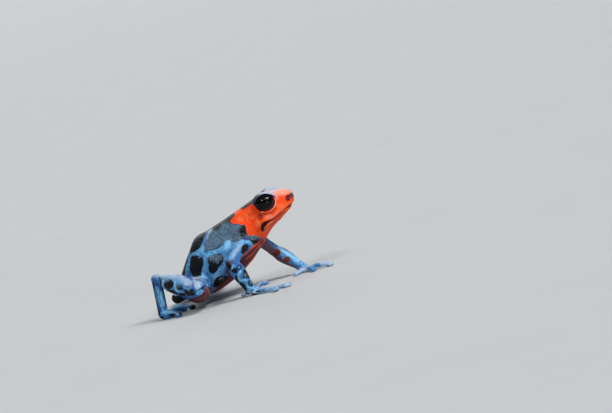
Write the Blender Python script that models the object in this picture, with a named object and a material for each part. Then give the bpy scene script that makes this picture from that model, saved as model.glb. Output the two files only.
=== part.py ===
"""A blessed poison frog, life size, as a still model that sits on all fours with its head raised.

Everything is modelled in millimetres, then moved to the part's origin and scaled to metres. +X is the
way the frog faces, +Y its left side and +Z up. The soles, palms and digit pads stand on z = 0, and
x = 0 is under the hips' front edge until the last step centres the model on its own box.
"""

import math

import bmesh
import bpy
from mathutils import Matrix, Vector
from mathutils.bvhtree import BVHTree

METRES_PER_MM = 0.001
LEFT, RIGHT = 1, -1
SIDE_NAMES = {LEFT: "left", RIGHT: "right"}

# Driving dimensions, in millimetres. From snout to vent the frog is 17.5 mm long.
GAP = 0.25

# The trunk and head are one loft. A station is the top and bottom of a section (x, z), its half
# width, its squareness (2 is an ellipse) and its taper (positive is narrower on top).
TRUNK_STATIONS = (
    ((-4.70, 3.45), (-4.62, 2.30), 0.50, 2.0, 0.00),
    ((-4.42, 4.10), (-4.25, 1.45), 1.20, 2.0, 0.00),
    ((-3.60, 5.30), (-3.10, 0.95), 2.00, 2.1, 0.00),
    ((-2.62, 6.60), (-1.50, 0.90), 2.60, 2.2, 0.02),
    ((-1.46, 8.00), (0.15, 1.30), 3.00, 2.3, 0.06),
    ((0.06, 8.42), (1.90, 2.05), 3.15, 2.3, 0.10),
    ((1.89, 8.99), (3.50, 2.95), 3.10, 2.3, 0.12),
    ((3.46, 9.52), (4.75, 3.90), 2.90, 2.2, 0.12),
    ((4.88, 10.03), (5.95, 4.90), 2.68, 2.2, 0.12),
    ((6.04, 10.45), (6.72, 5.62), 2.55, 2.2, 0.14),
    ((7.00, 10.80), (7.35, 6.25), 2.62, 2.3, 0.18),
    ((8.20, 11.08), (8.25, 6.95), 2.58, 2.5, 0.24),
    ((9.30, 11.08), (9.15, 7.45), 2.24, 2.6, 0.22),
    ((10.25, 10.98), (9.95, 7.98), 1.86, 2.7, 0.16),
    ((11.00, 10.70), (10.60, 8.42), 1.46, 2.6, 0.08),
    ((11.38, 10.30), (11.08, 8.90), 1.02, 2.3, 0.00),
    ((11.52, 9.90), (11.38, 9.32), 0.46, 2.0, 0.00),
)
TRUNK_RINGS = 36
TRUNK_SIDES = 28

# The neck is parted behind the jaw, square to this direction.
NECK_POINT = Vector((6.30, 0.0, 8.00))
NECK_DIRECTION = Vector((0.97, 0.0, 0.24))

EYE_CENTRE = Vector((8.35, 1.95, 10.14))
EYE_RADIUS = 1.10
EYE_LOOK = Vector((0.20, 0.94, 0.22))
LID_THICKNESS = 0.18
LID_REACH = 0.22

# The mouth line in side view, from in front of the lips to its turned-down corner.
MOUTH_LINE = (
    (11.80, 9.02),
    (10.98, 8.85),
    (10.38, 8.66),
    (9.73, 8.37),
    (9.07, 8.04),
    (8.42, 7.87),
    (7.85, 7.74),
    (7.42, 7.36),
    (7.22, 6.95),
)
MOUTH_WIDTH = 0.15
MOUTH_DEPTH = 0.26
LIP_RADIUS = 0.17
LIP_SPACING = 0.21
LIP_SINK = 0.08

NOSTRIL_PLACE = (11.00, 9.92)
NOSTRIL_RADIUS = 0.16
EARDRUM_PLACE = (7.36, 8.56)
EARDRUM_RADIUS = 0.32
EARDRUM_GROOVE = 0.07

# Each limb is a chain of joints, each a point and a radius.
ARM_JOINTS = {
    RIGHT: {
        "shoulder": ((4.75, -1.95, 6.15), 0.92),
        "elbow": ((3.22, -5.15, 4.62), 0.70),
        "wrist": ((4.20, -4.10, 0.98), 0.64),
    },
    LEFT: {
        "shoulder": ((5.20, 1.95, 5.98), 0.82),
        "elbow": ((6.30, 4.45, 3.58), 0.68),
        "wrist": ((8.95, 4.25, 0.90), 0.58),
    },
}
UPPER_ARM_SWELL = -0.06
FOREARM_SWELL = 0.24
FOREARM_PEAK = 0.34

LEG_JOINTS = {
    RIGHT: {
        "hip": ((-2.75, -1.50, 1.98), 1.32),
        "knee": ((-1.07, -7.21, 2.74), 1.06),
        "heel": ((-6.44, -4.28, 4.84), 0.61),
        "ankle": ((-6.62, -4.98, 0.70), 0.62),
    },
    LEFT: {
        "hip": ((-2.75, 1.50, 1.98), 1.32),
        "knee": ((-1.30, 7.20, 2.50), 1.06),
        "heel": ((-7.05, 4.25, 0.92), 0.66),
        "ankle": ((-5.80, 7.70, 0.88), 0.66),
    },
}
THIGH_SWELL = 0.36
THIGH_PEAK = 0.45
SHANK_SWELL = 0.36
SHANK_PEAK = 0.50
TARSUS_SWELL = 0.0
LIMB_SIDES = 14
LIMB_RINGS = 10

DIGIT_RADIUS = 0.26
DIGIT_SIDES = 7
DIGIT_RINGS = 6
PAD_HALF_WIDTH = 0.47
PAD_HALF_LENGTH = 0.45
PAD_HALF_HEIGHT = 0.27

# Palms and soles: the middle (x, y), the half width and the half height. Digits: the pad's middle
# (x, y, z), the height that the digit arches to, and the pad's size.
HANDS = {
    RIGHT: {
        "palm": ((4.78, -4.02), 0.60, 0.44),
        "digits": (
            ((3.00, -2.90, 0.24), 0.45, 0.80),
            ((5.85, -2.45, 0.86), 1.15, 0.84),
            ((8.72, -4.42, 0.22), 0.36, 1.25),
            ((7.60, -5.80, 0.22), 0.45, 0.92),
        ),
    },
    LEFT: {
        "palm": ((9.62, 4.25), 0.60, 0.44),
        "digits": (
            ((8.45, 2.95, 0.22), 0.45, 0.80),
            ((10.75, 2.75, 0.22), 0.55, 0.84),
            ((12.60, 3.85, 0.22), 0.55, 1.05),
            ((11.75, 5.55, 0.22), 0.45, 0.92),
        ),
    },
}
FEET = {
    RIGHT: {
        "palm": ((-6.02, -5.00), 0.68, 0.60),
        "digits": (
            ((-5.75, -3.55, 0.22), 0.60, 0.66),
            ((-5.35, -2.95, 0.22), 0.70, 0.74),
            ((-4.75, -2.45, 0.22), 0.90, 0.84),
            ((-3.75, -2.25, 0.22), 1.05, 0.95),
            ((-4.50, -6.20, 0.22), 0.70, 0.84),
        ),
    },
    LEFT: {
        "palm": ((-5.30, 8.25), 0.68, 0.50),
        "digits": (
            ((-4.20, 7.20, 0.22), 0.45, 0.66),
            ((-3.70, 7.85, 0.22), 0.50, 0.74),
            ((-3.35, 8.70, 0.22), 0.55, 0.84),
            ((-3.40, 9.95, 0.22), 0.60, 0.95),
            ((-4.95, 10.20, 0.22), 0.50, 0.84),
        ),
    },
}

ORANGE = (0.90, 0.16, 0.02, 1.0)
BLUE_BLACK = (0.05, 0.10, 0.16, 1.0)
LIGHT_BLUE = (0.16, 0.42, 0.72, 1.0)
EYE_BLACK = (0.01, 0.01, 0.012, 1.0)


def clear_scene():
    for old in list(bpy.data.objects):
        bpy.data.objects.remove(old)


def material(name, colour, roughness):
    made = bpy.data.materials.new(name)
    made.use_nodes = True
    shader = made.node_tree.nodes["Principled BSDF"]
    shader.inputs["Base Color"].default_value = colour
    shader.inputs["Roughness"].default_value = roughness
    shader.inputs["Metallic"].default_value = 0.0
    return made


def object_of(name, shape):
    """A new object in the scene from a bmesh, with its faces pointing out."""
    bmesh.ops.recalc_face_normals(shape, faces=shape.faces[:])
    mesh = bpy.data.meshes.new(name)
    shape.to_mesh(mesh)
    shape.free()
    made = bpy.data.objects.new(name, mesh)
    bpy.context.scene.collection.objects.link(made)
    return made


def smooth_between(rows, position):
    """Catmull-Rom interpolation of equal-length rows of numbers at position 0 to len(rows) - 1."""
    low = min(int(position), len(rows) - 2)
    t = position - low
    before, start, end, after = (rows[min(max(low + k, 0), len(rows) - 1)] for k in (-1, 0, 1, 2))
    return [
        0.5 * (2 * b + (c - a) * t + (2 * a - 5 * b + 4 * c - d) * t**2 + (3 * b - a - 3 * c + d) * t**3)
        for a, b, c, d in zip(before, start, end, after)
    ]


def skin_rows(shape, rows, closed):
    """Faces between equal rows of vertices; each row runs round, and closed rows run round as well."""
    pairs = list(zip(rows, rows[1:]))
    if closed:
        pairs.append((rows[-1], rows[0]))
    for lower, upper in pairs:
        for k in range(len(lower)):
            following = (k + 1) % len(lower)
            shape.faces.new((lower[k], lower[following], upper[following], upper[k]))


def loft(name, rings):
    """One closed mesh through equal rings of points, with a pole at each end."""
    shape = bmesh.new()
    rows = [[shape.verts.new(point) for point in ring] for ring in rings]
    skin_rows(shape, rows, closed=False)
    for row in (rows[0], rows[-1]):
        pole = shape.verts.new(sum((v.co for v in row), Vector()) / len(row))
        for k in range(len(row)):
            shape.faces.new((row[k], row[(k + 1) % len(row)], pole))
    return object_of(name, shape)


def signed_power(value, power):
    return math.copysign(abs(value) ** power, value)


def trunk_ring(position, grow):
    """The trunk's section at a position along its stations, grown outwards by some millimetres."""
    rows = [(*top, *bottom, width, square, taper) for top, bottom, width, square, taper in TRUNK_STATIONS]
    top_x, top_z, bottom_x, bottom_z, width, square, taper = smooth_between(rows, position)
    top, bottom = Vector((top_x, 0, top_z)), Vector((bottom_x, 0, bottom_z))
    centre = (top + bottom) / 2
    up = (top - bottom) / 2
    up *= (up.length + grow) / up.length
    ring = []
    for k in range(TRUNK_SIDES):
        angle = math.tau * k / TRUNK_SIDES
        across = signed_power(math.cos(angle), 2 / square)
        along = signed_power(math.sin(angle), 2 / square)
        half = (width + grow) * (1 - taper * along)
        ring.append(centre + up * along + Vector((0, across * half, 0)))
    return ring


def trunk(name, grow=0.0):
    last = len(TRUNK_STATIONS) - 1
    return loft(name, [trunk_ring(last * k / (TRUNK_RINGS - 1), grow) for k in range(TRUNK_RINGS)])


def tube(name, points, radii, sides, flatness=1.0):
    """A round-ended tube along points; flatness is its height over its width."""
    points = [Vector(p) for p in points]
    first, last = (points[1] - points[0]).normalized(), (points[-1] - points[-2]).normalized()
    round_end = (math.radians(20), math.radians(48))
    stations = []
    for angle in round_end:
        stations.append((points[0] - first * radii[0] * math.cos(angle), radii[0] * math.sin(angle), first))
    for k, point in enumerate(points):
        ahead = (points[min(k + 1, len(points) - 1)] - points[max(k - 1, 0)]).normalized()
        stations.append((point, radii[k], ahead))
    for angle in reversed(round_end):
        stations.append((points[-1] + last * radii[-1] * math.cos(angle), radii[-1] * math.sin(angle), last))
    side = first.cross(Vector((0, 0, 1)))
    if side.length < 1e-3:
        side = Vector((0, 1, 0))
    rings = []
    for centre, radius, direction in stations:
        side = (side - direction * side.dot(direction)).normalized()
        up = side.cross(direction)
        ring = []
        for k in range(sides):
            angle = math.tau * (k + 0.5) / sides
            ring.append(centre + (side * math.cos(angle) + up * math.sin(angle) * flatness) * radius)
        rings.append(ring)
    return loft(name, rings)


def limb(name, start, end, swell, peak=0.5):
    """A limb's length between two joints, fuller by swell at its peak, a share of its length."""
    (start_point, start_radius), (end_point, end_radius) = start, end
    start_point, end_point = Vector(start_point), Vector(end_point)
    points, radii = [], []
    for k in range(LIMB_RINGS):
        t = k / (LIMB_RINGS - 1)
        rise = t / peak if t < peak else (1 - t) / (1 - peak)
        points.append(start_point.lerp(end_point, t))
        radii.append(start_radius + (end_radius - start_radius) * t + swell * math.sin(rise * math.pi / 2) ** 2)
    return tube(name, points, radii, LIMB_SIDES)


def ball(name, centre, radii, turn=None, segments=20, rings=12):
    """A sphere stretched to three radii along its own axes, then turned and placed."""
    shape = bmesh.new()
    bmesh.ops.create_uvsphere(shape, u_segments=segments, v_segments=rings, radius=1.0)
    stretch = Matrix.Diagonal((*radii, 1.0))
    place = Matrix.Translation(centre) @ (turn or Matrix.Identity(4)) @ stretch
    bmesh.ops.transform(shape, matrix=place, verts=shape.verts[:])
    return object_of(name, shape)


def apply_modifiers(made):
    graph = bpy.context.evaluated_depsgraph_get()
    mesh = bpy.data.meshes.new_from_object(made.evaluated_get(graph))
    made.modifiers.clear()
    made.data = mesh
    return made


def cut(kept, cutter):
    """Takes a cutter's space out of an object, and removes the cutter."""
    modifier = kept.modifiers.new("cut", "BOOLEAN")
    modifier.operation = "DIFFERENCE"
    modifier.solver = "EXACT"
    modifier.object = cutter
    apply_modifiers(kept)
    bpy.data.objects.remove(cutter)
    return kept


def fuse(kept, pieces):
    """Joins closed pieces to an object with one Boolean union, and removes them."""
    group = bpy.data.collections.new("pieces")
    bpy.context.scene.collection.children.link(group)
    for piece in pieces:
        bpy.context.scene.collection.objects.unlink(piece)
        group.objects.link(piece)
    modifier = kept.modifiers.new("fuse", "BOOLEAN")
    modifier.operation = "UNION"
    modifier.solver = "EXACT"
    modifier.operand_type = "COLLECTION"
    modifier.collection = group
    apply_modifiers(kept)
    for piece in pieces:
        bpy.data.objects.remove(piece)
    bpy.data.collections.remove(group)
    return kept


def slice_off(made, point, outward):
    """Cuts away what lies beyond a plane and closes the cut with a flat face."""
    shape = bmesh.new()
    shape.from_mesh(made.data)
    parts = shape.verts[:] + shape.edges[:] + shape.faces[:]
    found = bmesh.ops.bisect_plane(
        shape, geom=parts, dist=1e-5, plane_co=point, plane_no=outward.normalized(), clear_outer=True
    )
    rim = [e for e in found["geom_cut"] if isinstance(e, bmesh.types.BMEdge)]
    bmesh.ops.edgenet_fill(shape, edges=rim)
    bmesh.ops.triangulate(shape, faces=[f for f in shape.faces if len(f.verts) > 4])
    bmesh.ops.recalc_face_normals(shape, faces=shape.faces[:])
    shape.to_mesh(made.data)
    shape.free()
    return made


def part_at(first, second, point, direction):
    """Parts two objects at a plane: the first keeps what is behind it, with GAP left between them."""
    direction = direction.normalized()
    slice_off(first, point - direction * GAP / 2, direction)
    slice_off(second, point + direction * GAP / 2, -direction)


def fold_direction(start, middle, end):
    """The way across a folded joint that halves the angle between its two lengths."""
    to_start = (start - middle).normalized()
    to_end = (end - middle).normalized()
    return to_end - to_start


def surface_volume(faces):
    total = 0.0
    for face in faces:
        corners = [v.co for v in face.verts]
        for second, third in zip(corners[1:], corners[2:]):
            total += corners[0].dot(second.cross(third)) / 6
    return abs(total)


def keep_largest(made):
    """Drops every closed surface but the one with the most volume."""
    shape = bmesh.new()
    shape.from_mesh(made.data)
    unseen, islands = set(shape.faces), []
    while unseen:
        island, front = set(), [unseen.pop()]
        while front:
            face = front.pop()
            island.add(face)
            for neighbour in (f for e in face.edges for f in e.link_faces if f in unseen):
                unseen.discard(neighbour)
                front.append(neighbour)
        islands.append(island)
    largest = max(islands, key=surface_volume)
    bmesh.ops.delete(shape, geom=[f for f in shape.faces if f not in largest], context="FACES")
    shape.to_mesh(made.data)
    shape.free()
    return made


def on_side(point, side):
    """A point or direction that is given for the left side, on either side."""
    return Vector((point[0], point[1] * side, point[2]))


def skin_point(surface, place, side):
    """Where a line across the body at (x, z) meets its surface on one side, and the way out there."""
    start = Vector((place[0], side * 20.0, place[1]))
    hit, normal, _, _ = surface.ray_cast(start, Vector((0, -side, 0)))
    return hit, normal


def turn_to(direction):
    """The rotation that takes +Z to a direction."""
    return Vector((0, 0, 1)).rotation_difference(direction.normalized()).to_matrix().to_4x4()


def orbit(side):
    """The lids round one eye, as a ball that is cut off square to the way the eye looks."""
    centre, look = on_side(EYE_CENTRE, side), on_side(EYE_LOOK, side).normalized()
    radius = EYE_RADIUS + GAP + LID_THICKNESS
    bulge = ball("orbit", centre - look * 0.02, (radius, radius, radius), turn_to(look), 24, 14)
    return slice_off(bulge, centre + look * LID_REACH, look)


def across_mouth_line(k):
    """The direction square to the mouth line at its k-th point, in side view, pointing up."""
    before, after = MOUTH_LINE[max(k - 1, 0)], MOUTH_LINE[min(k + 1, len(MOUTH_LINE) - 1)]
    along = Vector((before[0] - after[0], 0, before[1] - after[1])).normalized()
    return Vector((-along.z, 0, along.x))


def lip(surface, side, offset):
    """A roll of skin that follows the mouth line at an offset above or below it."""
    points = []
    for k, (x, z) in enumerate(MOUTH_LINE[1:-1], 1):
        place = Vector((x, 0, z)) + across_mouth_line(k) * offset
        hit, out = skin_point(surface, (place.x, place.z), side)
        if hit:
            points.append(hit - out * LIP_SINK)
    radii = [LIP_RADIUS * (0.8 if k in (0, len(points) - 1) else 1.0) for k in range(len(points))]
    return tube("lip", points, radii, 6)


def mouth_cutter():
    """A thin bent plate along the mouth line, hollowed so that it bites only to the mouth's depth."""
    shape = bmesh.new()
    reach = 5.0
    rows = []
    for k, (x, z) in enumerate(MOUTH_LINE):
        half = across_mouth_line(k) * MOUTH_WIDTH / 2
        middle = Vector((x, 0, z))
        corners = ((half, -reach), (half, reach), (-half, reach), (-half, -reach))
        rows.append([shape.verts.new(middle + step + Vector((0, y, 0))) for step, y in corners])
    skin_rows(shape, rows, closed=False)
    shape.faces.new(rows[0])
    shape.faces.new(rows[-1])
    return cut(object_of("mouth", shape), trunk("inner_head", -MOUTH_DEPTH))


def eardrum_groove(place, out):
    """A ring that sinks the edge of the eardrum into the skin behind the eye."""
    steps, sides = 14, 6
    shape = bmesh.new()
    turn = Matrix.Translation(place) @ turn_to(out)
    rows = []
    for k in range(steps):
        spoke = Vector((math.cos(math.tau * k / steps), math.sin(math.tau * k / steps), 0))
        row = []
        for j in range(sides):
            lift = math.tau * j / sides
            point = spoke * (EARDRUM_RADIUS + EARDRUM_GROOVE * math.cos(lift))
            point.z = EARDRUM_GROOVE * math.sin(lift)
            row.append(shape.verts.new(turn @ point))
        rows.append(row)
    skin_rows(shape, rows, closed=True)
    return object_of("groove", shape)


def surface_of(made):
    return BVHTree.FromObject(made, bpy.context.evaluated_depsgraph_get())


def make_head():
    head = trunk("head")
    slice_off(head, NECK_POINT + NECK_DIRECTION.normalized() * GAP / 2, -NECK_DIRECTION)
    surface = surface_of(head)
    raised = [orbit(side) for side in (LEFT, RIGHT)]
    raised += [lip(surface, side, offset) for side in (LEFT, RIGHT) for offset in (LIP_SPACING, -LIP_SPACING)]
    fuse(head, raised)
    socket = EYE_RADIUS + GAP
    for side in (LEFT, RIGHT):
        cut(head, ball("socket", on_side(EYE_CENTRE, side), (socket, socket, socket), None, 24, 16))
    cut(head, mouth_cutter())
    for side in (LEFT, RIGHT):
        place, out = skin_point(surface, NOSTRIL_PLACE, side)
        size = (NOSTRIL_RADIUS, NOSTRIL_RADIUS * 1.3, NOSTRIL_RADIUS * 1.3)
        cut(head, ball("nostril", place, size, turn_to(out), 10, 6))
        place, out = skin_point(surface, EARDRUM_PLACE, side)
        cut(head, eardrum_groove(place, out))
    return keep_largest(head)


def make_torso():
    return slice_off(trunk("torso"), NECK_POINT - NECK_DIRECTION.normalized() * GAP / 2, NECK_DIRECTION)


def make_eye(side):
    size = (EYE_RADIUS, EYE_RADIUS, EYE_RADIUS)
    turn = turn_to(on_side(EYE_LOOK, side))
    return ball(f"eye_{SIDE_NAMES[side]}", on_side(EYE_CENTRE, side), size, turn, 20, 12)


def digit(name, root, pad_place, arch, pad_size):
    """A finger or toe from its root to a wide pad, arched between them."""
    tip = Vector(pad_place)
    reach = tip - root
    wrist_end = tip - reach.normalized() * PAD_HALF_LENGTH * pad_size * 0.4
    points, radii = [], []
    for k in range(DIGIT_RINGS):
        t = k / (DIGIT_RINGS - 1)
        point = root.lerp(wrist_end, t)
        point.z += max(arch - max(root.z, tip.z), 0.0) * math.sin(math.pi * t)
        points.append(point)
        radii.append(DIGIT_RADIUS * (1.15 - 0.2 * t))
    shaft = tube(name, points, radii, DIGIT_SIDES)
    heading = math.atan2(reach.y, reach.x)
    size = (PAD_HALF_LENGTH * pad_size, PAD_HALF_WIDTH * pad_size, PAD_HALF_HEIGHT)
    pad = ball(name + "_pad", tip, size, Matrix.Rotation(heading, 4, "Z"), 10, 6)
    return [shaft, pad]


def extremity(name, joint, plan, heading):
    """A hand or foot on small flats: a palm or sole, parted from its limb square to heading, and digits."""
    (joint_point, joint_radius), (middle, half_width, half_height) = joint, plan["palm"]
    root = Vector((*middle, half_height * 0.85))
    points = [Vector(joint_point).lerp(root, t) for t in (0.0, 0.35, 0.7, 1.0)]
    radii = [joint_radius, joint_radius * 0.98, half_width, half_width * 0.94]
    made = tube(name, points, radii, 12, half_height / half_width)
    slice_off(made, Vector(joint_point) + heading * GAP / 2, -heading)
    pieces = []
    for number, (pad_place, arch, pad_size) in enumerate(plan["digits"], 1):
        pieces += digit(f"digit_{number}", root, pad_place, arch, pad_size)
    fuse(made, pieces)
    return slice_off(made, Vector(), Vector((0, 0, -1)))


def joint_points(joints):
    return {key: Vector(point) for key, (point, _) in joints.items()}


def way_down(start, end):
    """The direction that halves the angle between a limb's length and straight down."""
    return ((end - start).normalized() + Vector((0, 0, -1))).normalized()


def make_arm(side, body_space):
    name, joints = SIDE_NAMES[side], ARM_JOINTS[side]
    at = joint_points(joints)
    upper = limb(f"upper_arm_{name}", joints["shoulder"], joints["elbow"], UPPER_ARM_SWELL)
    lower = limb(f"forearm_{name}", joints["elbow"], joints["wrist"], FOREARM_SWELL, FOREARM_PEAK)
    part_at(upper, lower, at["elbow"], fold_direction(at["shoulder"], at["elbow"], at["wrist"]))
    heading = way_down(at["elbow"], at["wrist"])
    slice_off(lower, at["wrist"] - heading * GAP / 2, heading)
    hand = extremity(f"hand_{name}", joints["wrist"], HANDS[side], heading)
    cut_clear(upper, body_space)
    return [upper, lower, hand]


def make_leg(side, body_space):
    name, joints = SIDE_NAMES[side], LEG_JOINTS[side]
    at = joint_points(joints)
    thigh = limb(f"thigh_{name}", joints["hip"], joints["knee"], THIGH_SWELL, THIGH_PEAK)
    shank = limb(f"shank_{name}", joints["knee"], joints["heel"], SHANK_SWELL, SHANK_PEAK)
    tarsus = limb(f"tarsus_{name}", joints["heel"], joints["ankle"], TARSUS_SWELL)
    part_at(thigh, shank, at["knee"], fold_direction(at["hip"], at["knee"], at["heel"]))
    part_at(shank, tarsus, at["heel"], fold_direction(at["knee"], at["heel"], at["ankle"]))
    heading = way_down(at["heel"], at["ankle"])
    slice_off(tarsus, at["ankle"] - heading * GAP / 2, heading)
    foot = extremity(f"foot_{name}", joints["ankle"], FEET[side], heading)
    cut_clear(thigh, body_space)
    return [thigh, shank, tarsus, foot]


def cut_clear(made, body_space):
    """Removes from a limb what lies in the body or within GAP of it."""
    space = body_space.copy()
    space.data = body_space.data.copy()
    bpy.context.scene.collection.objects.link(space)
    return keep_largest(cut(made, space))


def finish(nodes):
    """Moves the nodes so that the middle of the underside of their box is the origin, in metres."""
    corners = [v.co for made in nodes for v in made.data.vertices]
    low = Vector([min(c[k] for c in corners) for k in range(3)])
    high = Vector([max(c[k] for c in corners) for k in range(3)])
    to_origin = Matrix.Translation(Vector((-(low.x + high.x) / 2, -(low.y + high.y) / 2, -low.z)))
    for made in nodes:
        made.data.transform(Matrix.Scale(METRES_PER_MM, 4) @ to_origin)
        made.data.shade_smooth()
        made.data.set_sharp_from_angle(angle=math.radians(40))


def paint(nodes, look):
    for made in nodes:
        made.data.materials.clear()
        made.data.materials.append(look)
    return nodes


def main():
    clear_scene()
    body_space = trunk("body_space", GAP)
    eyes = [make_eye(side) for side in (LEFT, RIGHT)]
    limbs = []
    for side in (LEFT, RIGHT):
        limbs += make_arm(side, body_space) + make_leg(side, body_space)
    bpy.data.objects.remove(body_space)
    nodes = paint([make_head()], material("orange_skin", ORANGE, 0.35))
    nodes += paint([make_torso()], material("dark_skin", BLUE_BLACK, 0.40))
    nodes += paint(limbs, material("blue_skin", LIGHT_BLUE, 0.40))
    nodes += paint(eyes, material("eye_black", EYE_BLACK, 0.08))
    finish(nodes)


main()
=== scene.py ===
"""The looks of a blessed poison frog that sits on all fours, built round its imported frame.

Lengths are millimetres in the frog's own frame: +X is the way it faces, +Y its left side, +Z up, and the
floor is z = 0. The frame's right eye says where that frame lies. One skin is grown from signed distances
on a grid, then sculpted, marked and given a moist, granular finish. The eyes stay separate.

The markings of the near side are named shapes placed by pixels of the 612 x 413 photograph, turned into
millimetres on the skin. The far side mirrors them, and what the photograph hides follows the species.
"""

import math

import bpy
import numpy as np
import openvdb
from mathutils import Matrix, Vector

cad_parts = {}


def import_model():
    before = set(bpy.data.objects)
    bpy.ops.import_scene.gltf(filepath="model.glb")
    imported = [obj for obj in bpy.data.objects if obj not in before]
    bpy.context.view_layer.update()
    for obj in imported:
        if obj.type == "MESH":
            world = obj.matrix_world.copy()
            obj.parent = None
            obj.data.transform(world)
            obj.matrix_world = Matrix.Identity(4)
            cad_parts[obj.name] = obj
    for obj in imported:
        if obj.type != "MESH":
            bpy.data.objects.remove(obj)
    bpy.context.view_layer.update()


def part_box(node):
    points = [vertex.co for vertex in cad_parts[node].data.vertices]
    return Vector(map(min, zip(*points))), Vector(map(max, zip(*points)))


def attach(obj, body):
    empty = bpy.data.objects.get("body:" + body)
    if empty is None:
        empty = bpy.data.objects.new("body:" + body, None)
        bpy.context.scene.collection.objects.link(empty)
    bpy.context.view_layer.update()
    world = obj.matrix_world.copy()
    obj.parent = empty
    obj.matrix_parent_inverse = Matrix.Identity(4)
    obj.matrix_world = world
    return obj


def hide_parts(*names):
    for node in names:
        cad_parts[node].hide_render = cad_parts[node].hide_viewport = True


METRES_PER_MM = 0.001
LEFT, RIGHT = 1, -1
SIDE_NAMES = {LEFT: "left", RIGHT: "right"}

# The photograph's view: its angles, its scale where the frog sits, and the pixel of the frame's origin.
VIEW_AZIMUTH = math.radians(12.5)
VIEW_ELEVATION = math.radians(6.0)
VIEW_ROLL = math.radians(16.3)
VIEW_DISTANCE = 300.0
PHOTO_SIZE = (612, 413)
PIXELS_PER_MM = 8.3
ORIGIN_PIXEL = (226.0, 297.7)
SENSOR_WIDTH = 36.0

# The trunk and head. A station is the top and bottom of a section (x, z), its half width, its
# squareness (2 is an ellipse) and its taper (positive is narrower on top).
TRUNK_STATIONS = (
    ((-4.70, 3.45), (-4.62, 2.30), 0.50, 2.0, 0.00),
    ((-4.42, 4.10), (-4.25, 1.45), 1.20, 2.0, 0.00),
    ((-3.60, 5.30), (-3.10, 0.95), 2.00, 2.1, 0.00),
    ((-2.62, 6.60), (-1.50, 0.90), 2.60, 2.2, 0.02),
    ((-1.46, 8.00), (0.15, 1.30), 3.00, 2.3, 0.06),
    ((0.06, 8.42), (1.90, 2.05), 3.15, 2.3, 0.10),
    ((1.89, 8.99), (3.50, 2.95), 3.10, 2.3, 0.12),
    ((3.46, 9.52), (4.75, 3.90), 2.90, 2.2, 0.12),
    ((4.88, 10.03), (5.95, 4.90), 2.68, 2.2, 0.12),
    ((6.04, 10.45), (6.72, 5.62), 2.55, 2.2, 0.14),
    ((7.00, 10.80), (7.35, 6.25), 2.62, 2.3, 0.18),
    ((8.20, 11.08), (8.25, 6.95), 2.58, 2.5, 0.24),
    ((9.30, 11.08), (9.15, 7.45), 2.24, 2.6, 0.22),
    ((10.25, 10.98), (9.95, 7.98), 1.86, 2.7, 0.16),
    ((11.00, 10.70), (10.60, 8.42), 1.46, 2.6, 0.08),
    ((11.38, 10.30), (11.08, 8.90), 1.02, 2.3, 0.00),
    ((11.52, 9.90), (11.38, 9.32), 0.46, 2.0, 0.00),
)
TRUNK_RINGS = 160
TRUNK_SIDES = 96
SHOULDER_BLADE = ((4.70, 1.75, 7.60), (1.5, 1.0, 0.9))
SHOULDER_BLEND = 0.6

# The eyes, with their half sizes forward, to the crown and along the look, and the lids as a thin cup over
# each: it ends where the eye comes out of the head and, over the eye, at an edge square to the crown,
# which leans forward. The edge arches down in front and, more, behind.
EYE_CENTRE = np.array((8.38, 1.95, 10.09))
EYE_RADII = np.array((1.33, 1.18, 1.22))
EYE_LOOK = np.array((0.20, 0.94, 0.22))
IRIS_SHARE = 0.81
CAD_EYE_CENTRE = (8.35, -1.95, 10.14)
CROWN_LEAN = math.radians(10)
LID_THICKNESS = 0.12
LID_BEHIND = 0.34
LID_EDGE = 0.95
LID_ARCH_FRONT = 0.21
LID_ARCH_BEHIND = 0.70
LID_TOP = 1.24
RIM_OFFSET = 0.36
RIM_THICKNESS = 0.065
SOCKET_DEPTH = 0.08
SOCKET_BLEND = 0.04
LID_BLEND = 0.35
LID_OPENING_BLEND = 0.50
LID_EDGE_BLEND = 0.06
LID_TOP_BLEND = 0.25
RIM_BLEND = 0.12

# How far the colours of lids and rims, and the lids' painted sheen and edge shadow, reach from their forms.
LID_PAINT_REACH = 0.08
LID_PAINT_BELOW = 0.12
LID_PAINT_LOW = 0.10
LID_SHADOW_WIDTH = 0.03
LID_SHADOW_BACK = 0.35
SHEEN_BACK = 0.45
SHEEN_LEVEL = 0.35
RIM_PAINT_REACH = 0.02
RIM_PAINT_TOP = 0.45
RIM_PAINT_BACK = 0.55

# The mouth in side view, from in front of the lips to its turned-down corner, and the half width and
# depth of its line at shares of its length.
MOUTH_LINE = (
    (11.80, 9.02),
    (10.98, 8.85),
    (10.38, 8.66),
    (9.73, 8.37),
    (9.07, 8.04),
    (8.42, 7.87),
    (7.85, 7.74),
    (7.42, 7.36),
    (7.22, 6.95),
)
MOUTH_SHARES = (0.0, 0.14, 0.26, 0.50, 0.70, 0.84, 0.93, 1.0)
MOUTH_HALF_WIDTHS = (0.13, 0.13, 0.03, 0.035, 0.10, 0.26, 0.22, 0.12)
MOUTH_DEPTHS = (0.04, 0.05, 0.09, 0.13, 0.18, 0.24, 0.22, 0.12)
NOSTRIL_PLACE = (11.00, 9.92)
EARDRUM_PLACE = (7.36, 8.56)
EARDRUM_RADIUS = 0.32

# Relief near the mouth, eyes and chest: how high it stands and how wide it is.
LIP_HEIGHTS = (0.07, 0.04)
LIP_PLACE = 0.18
LIP_WIDTH = 0.11
MOUTH_END = 7.0
MOUTH_LEAST_WIDTH = 0.075
EYE_CREASE = (-0.06, 0.10)
CHEST_FOLD = (0.07, 0.11)
EARDRUM_GROOVE = (-0.05, 0.07)
NOSTRIL_PIT = (-0.20, 0.13)
NOSTRIL_RING = (0.04, 0.10)
NOSTRIL_RING_RADIUS = 0.26

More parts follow.
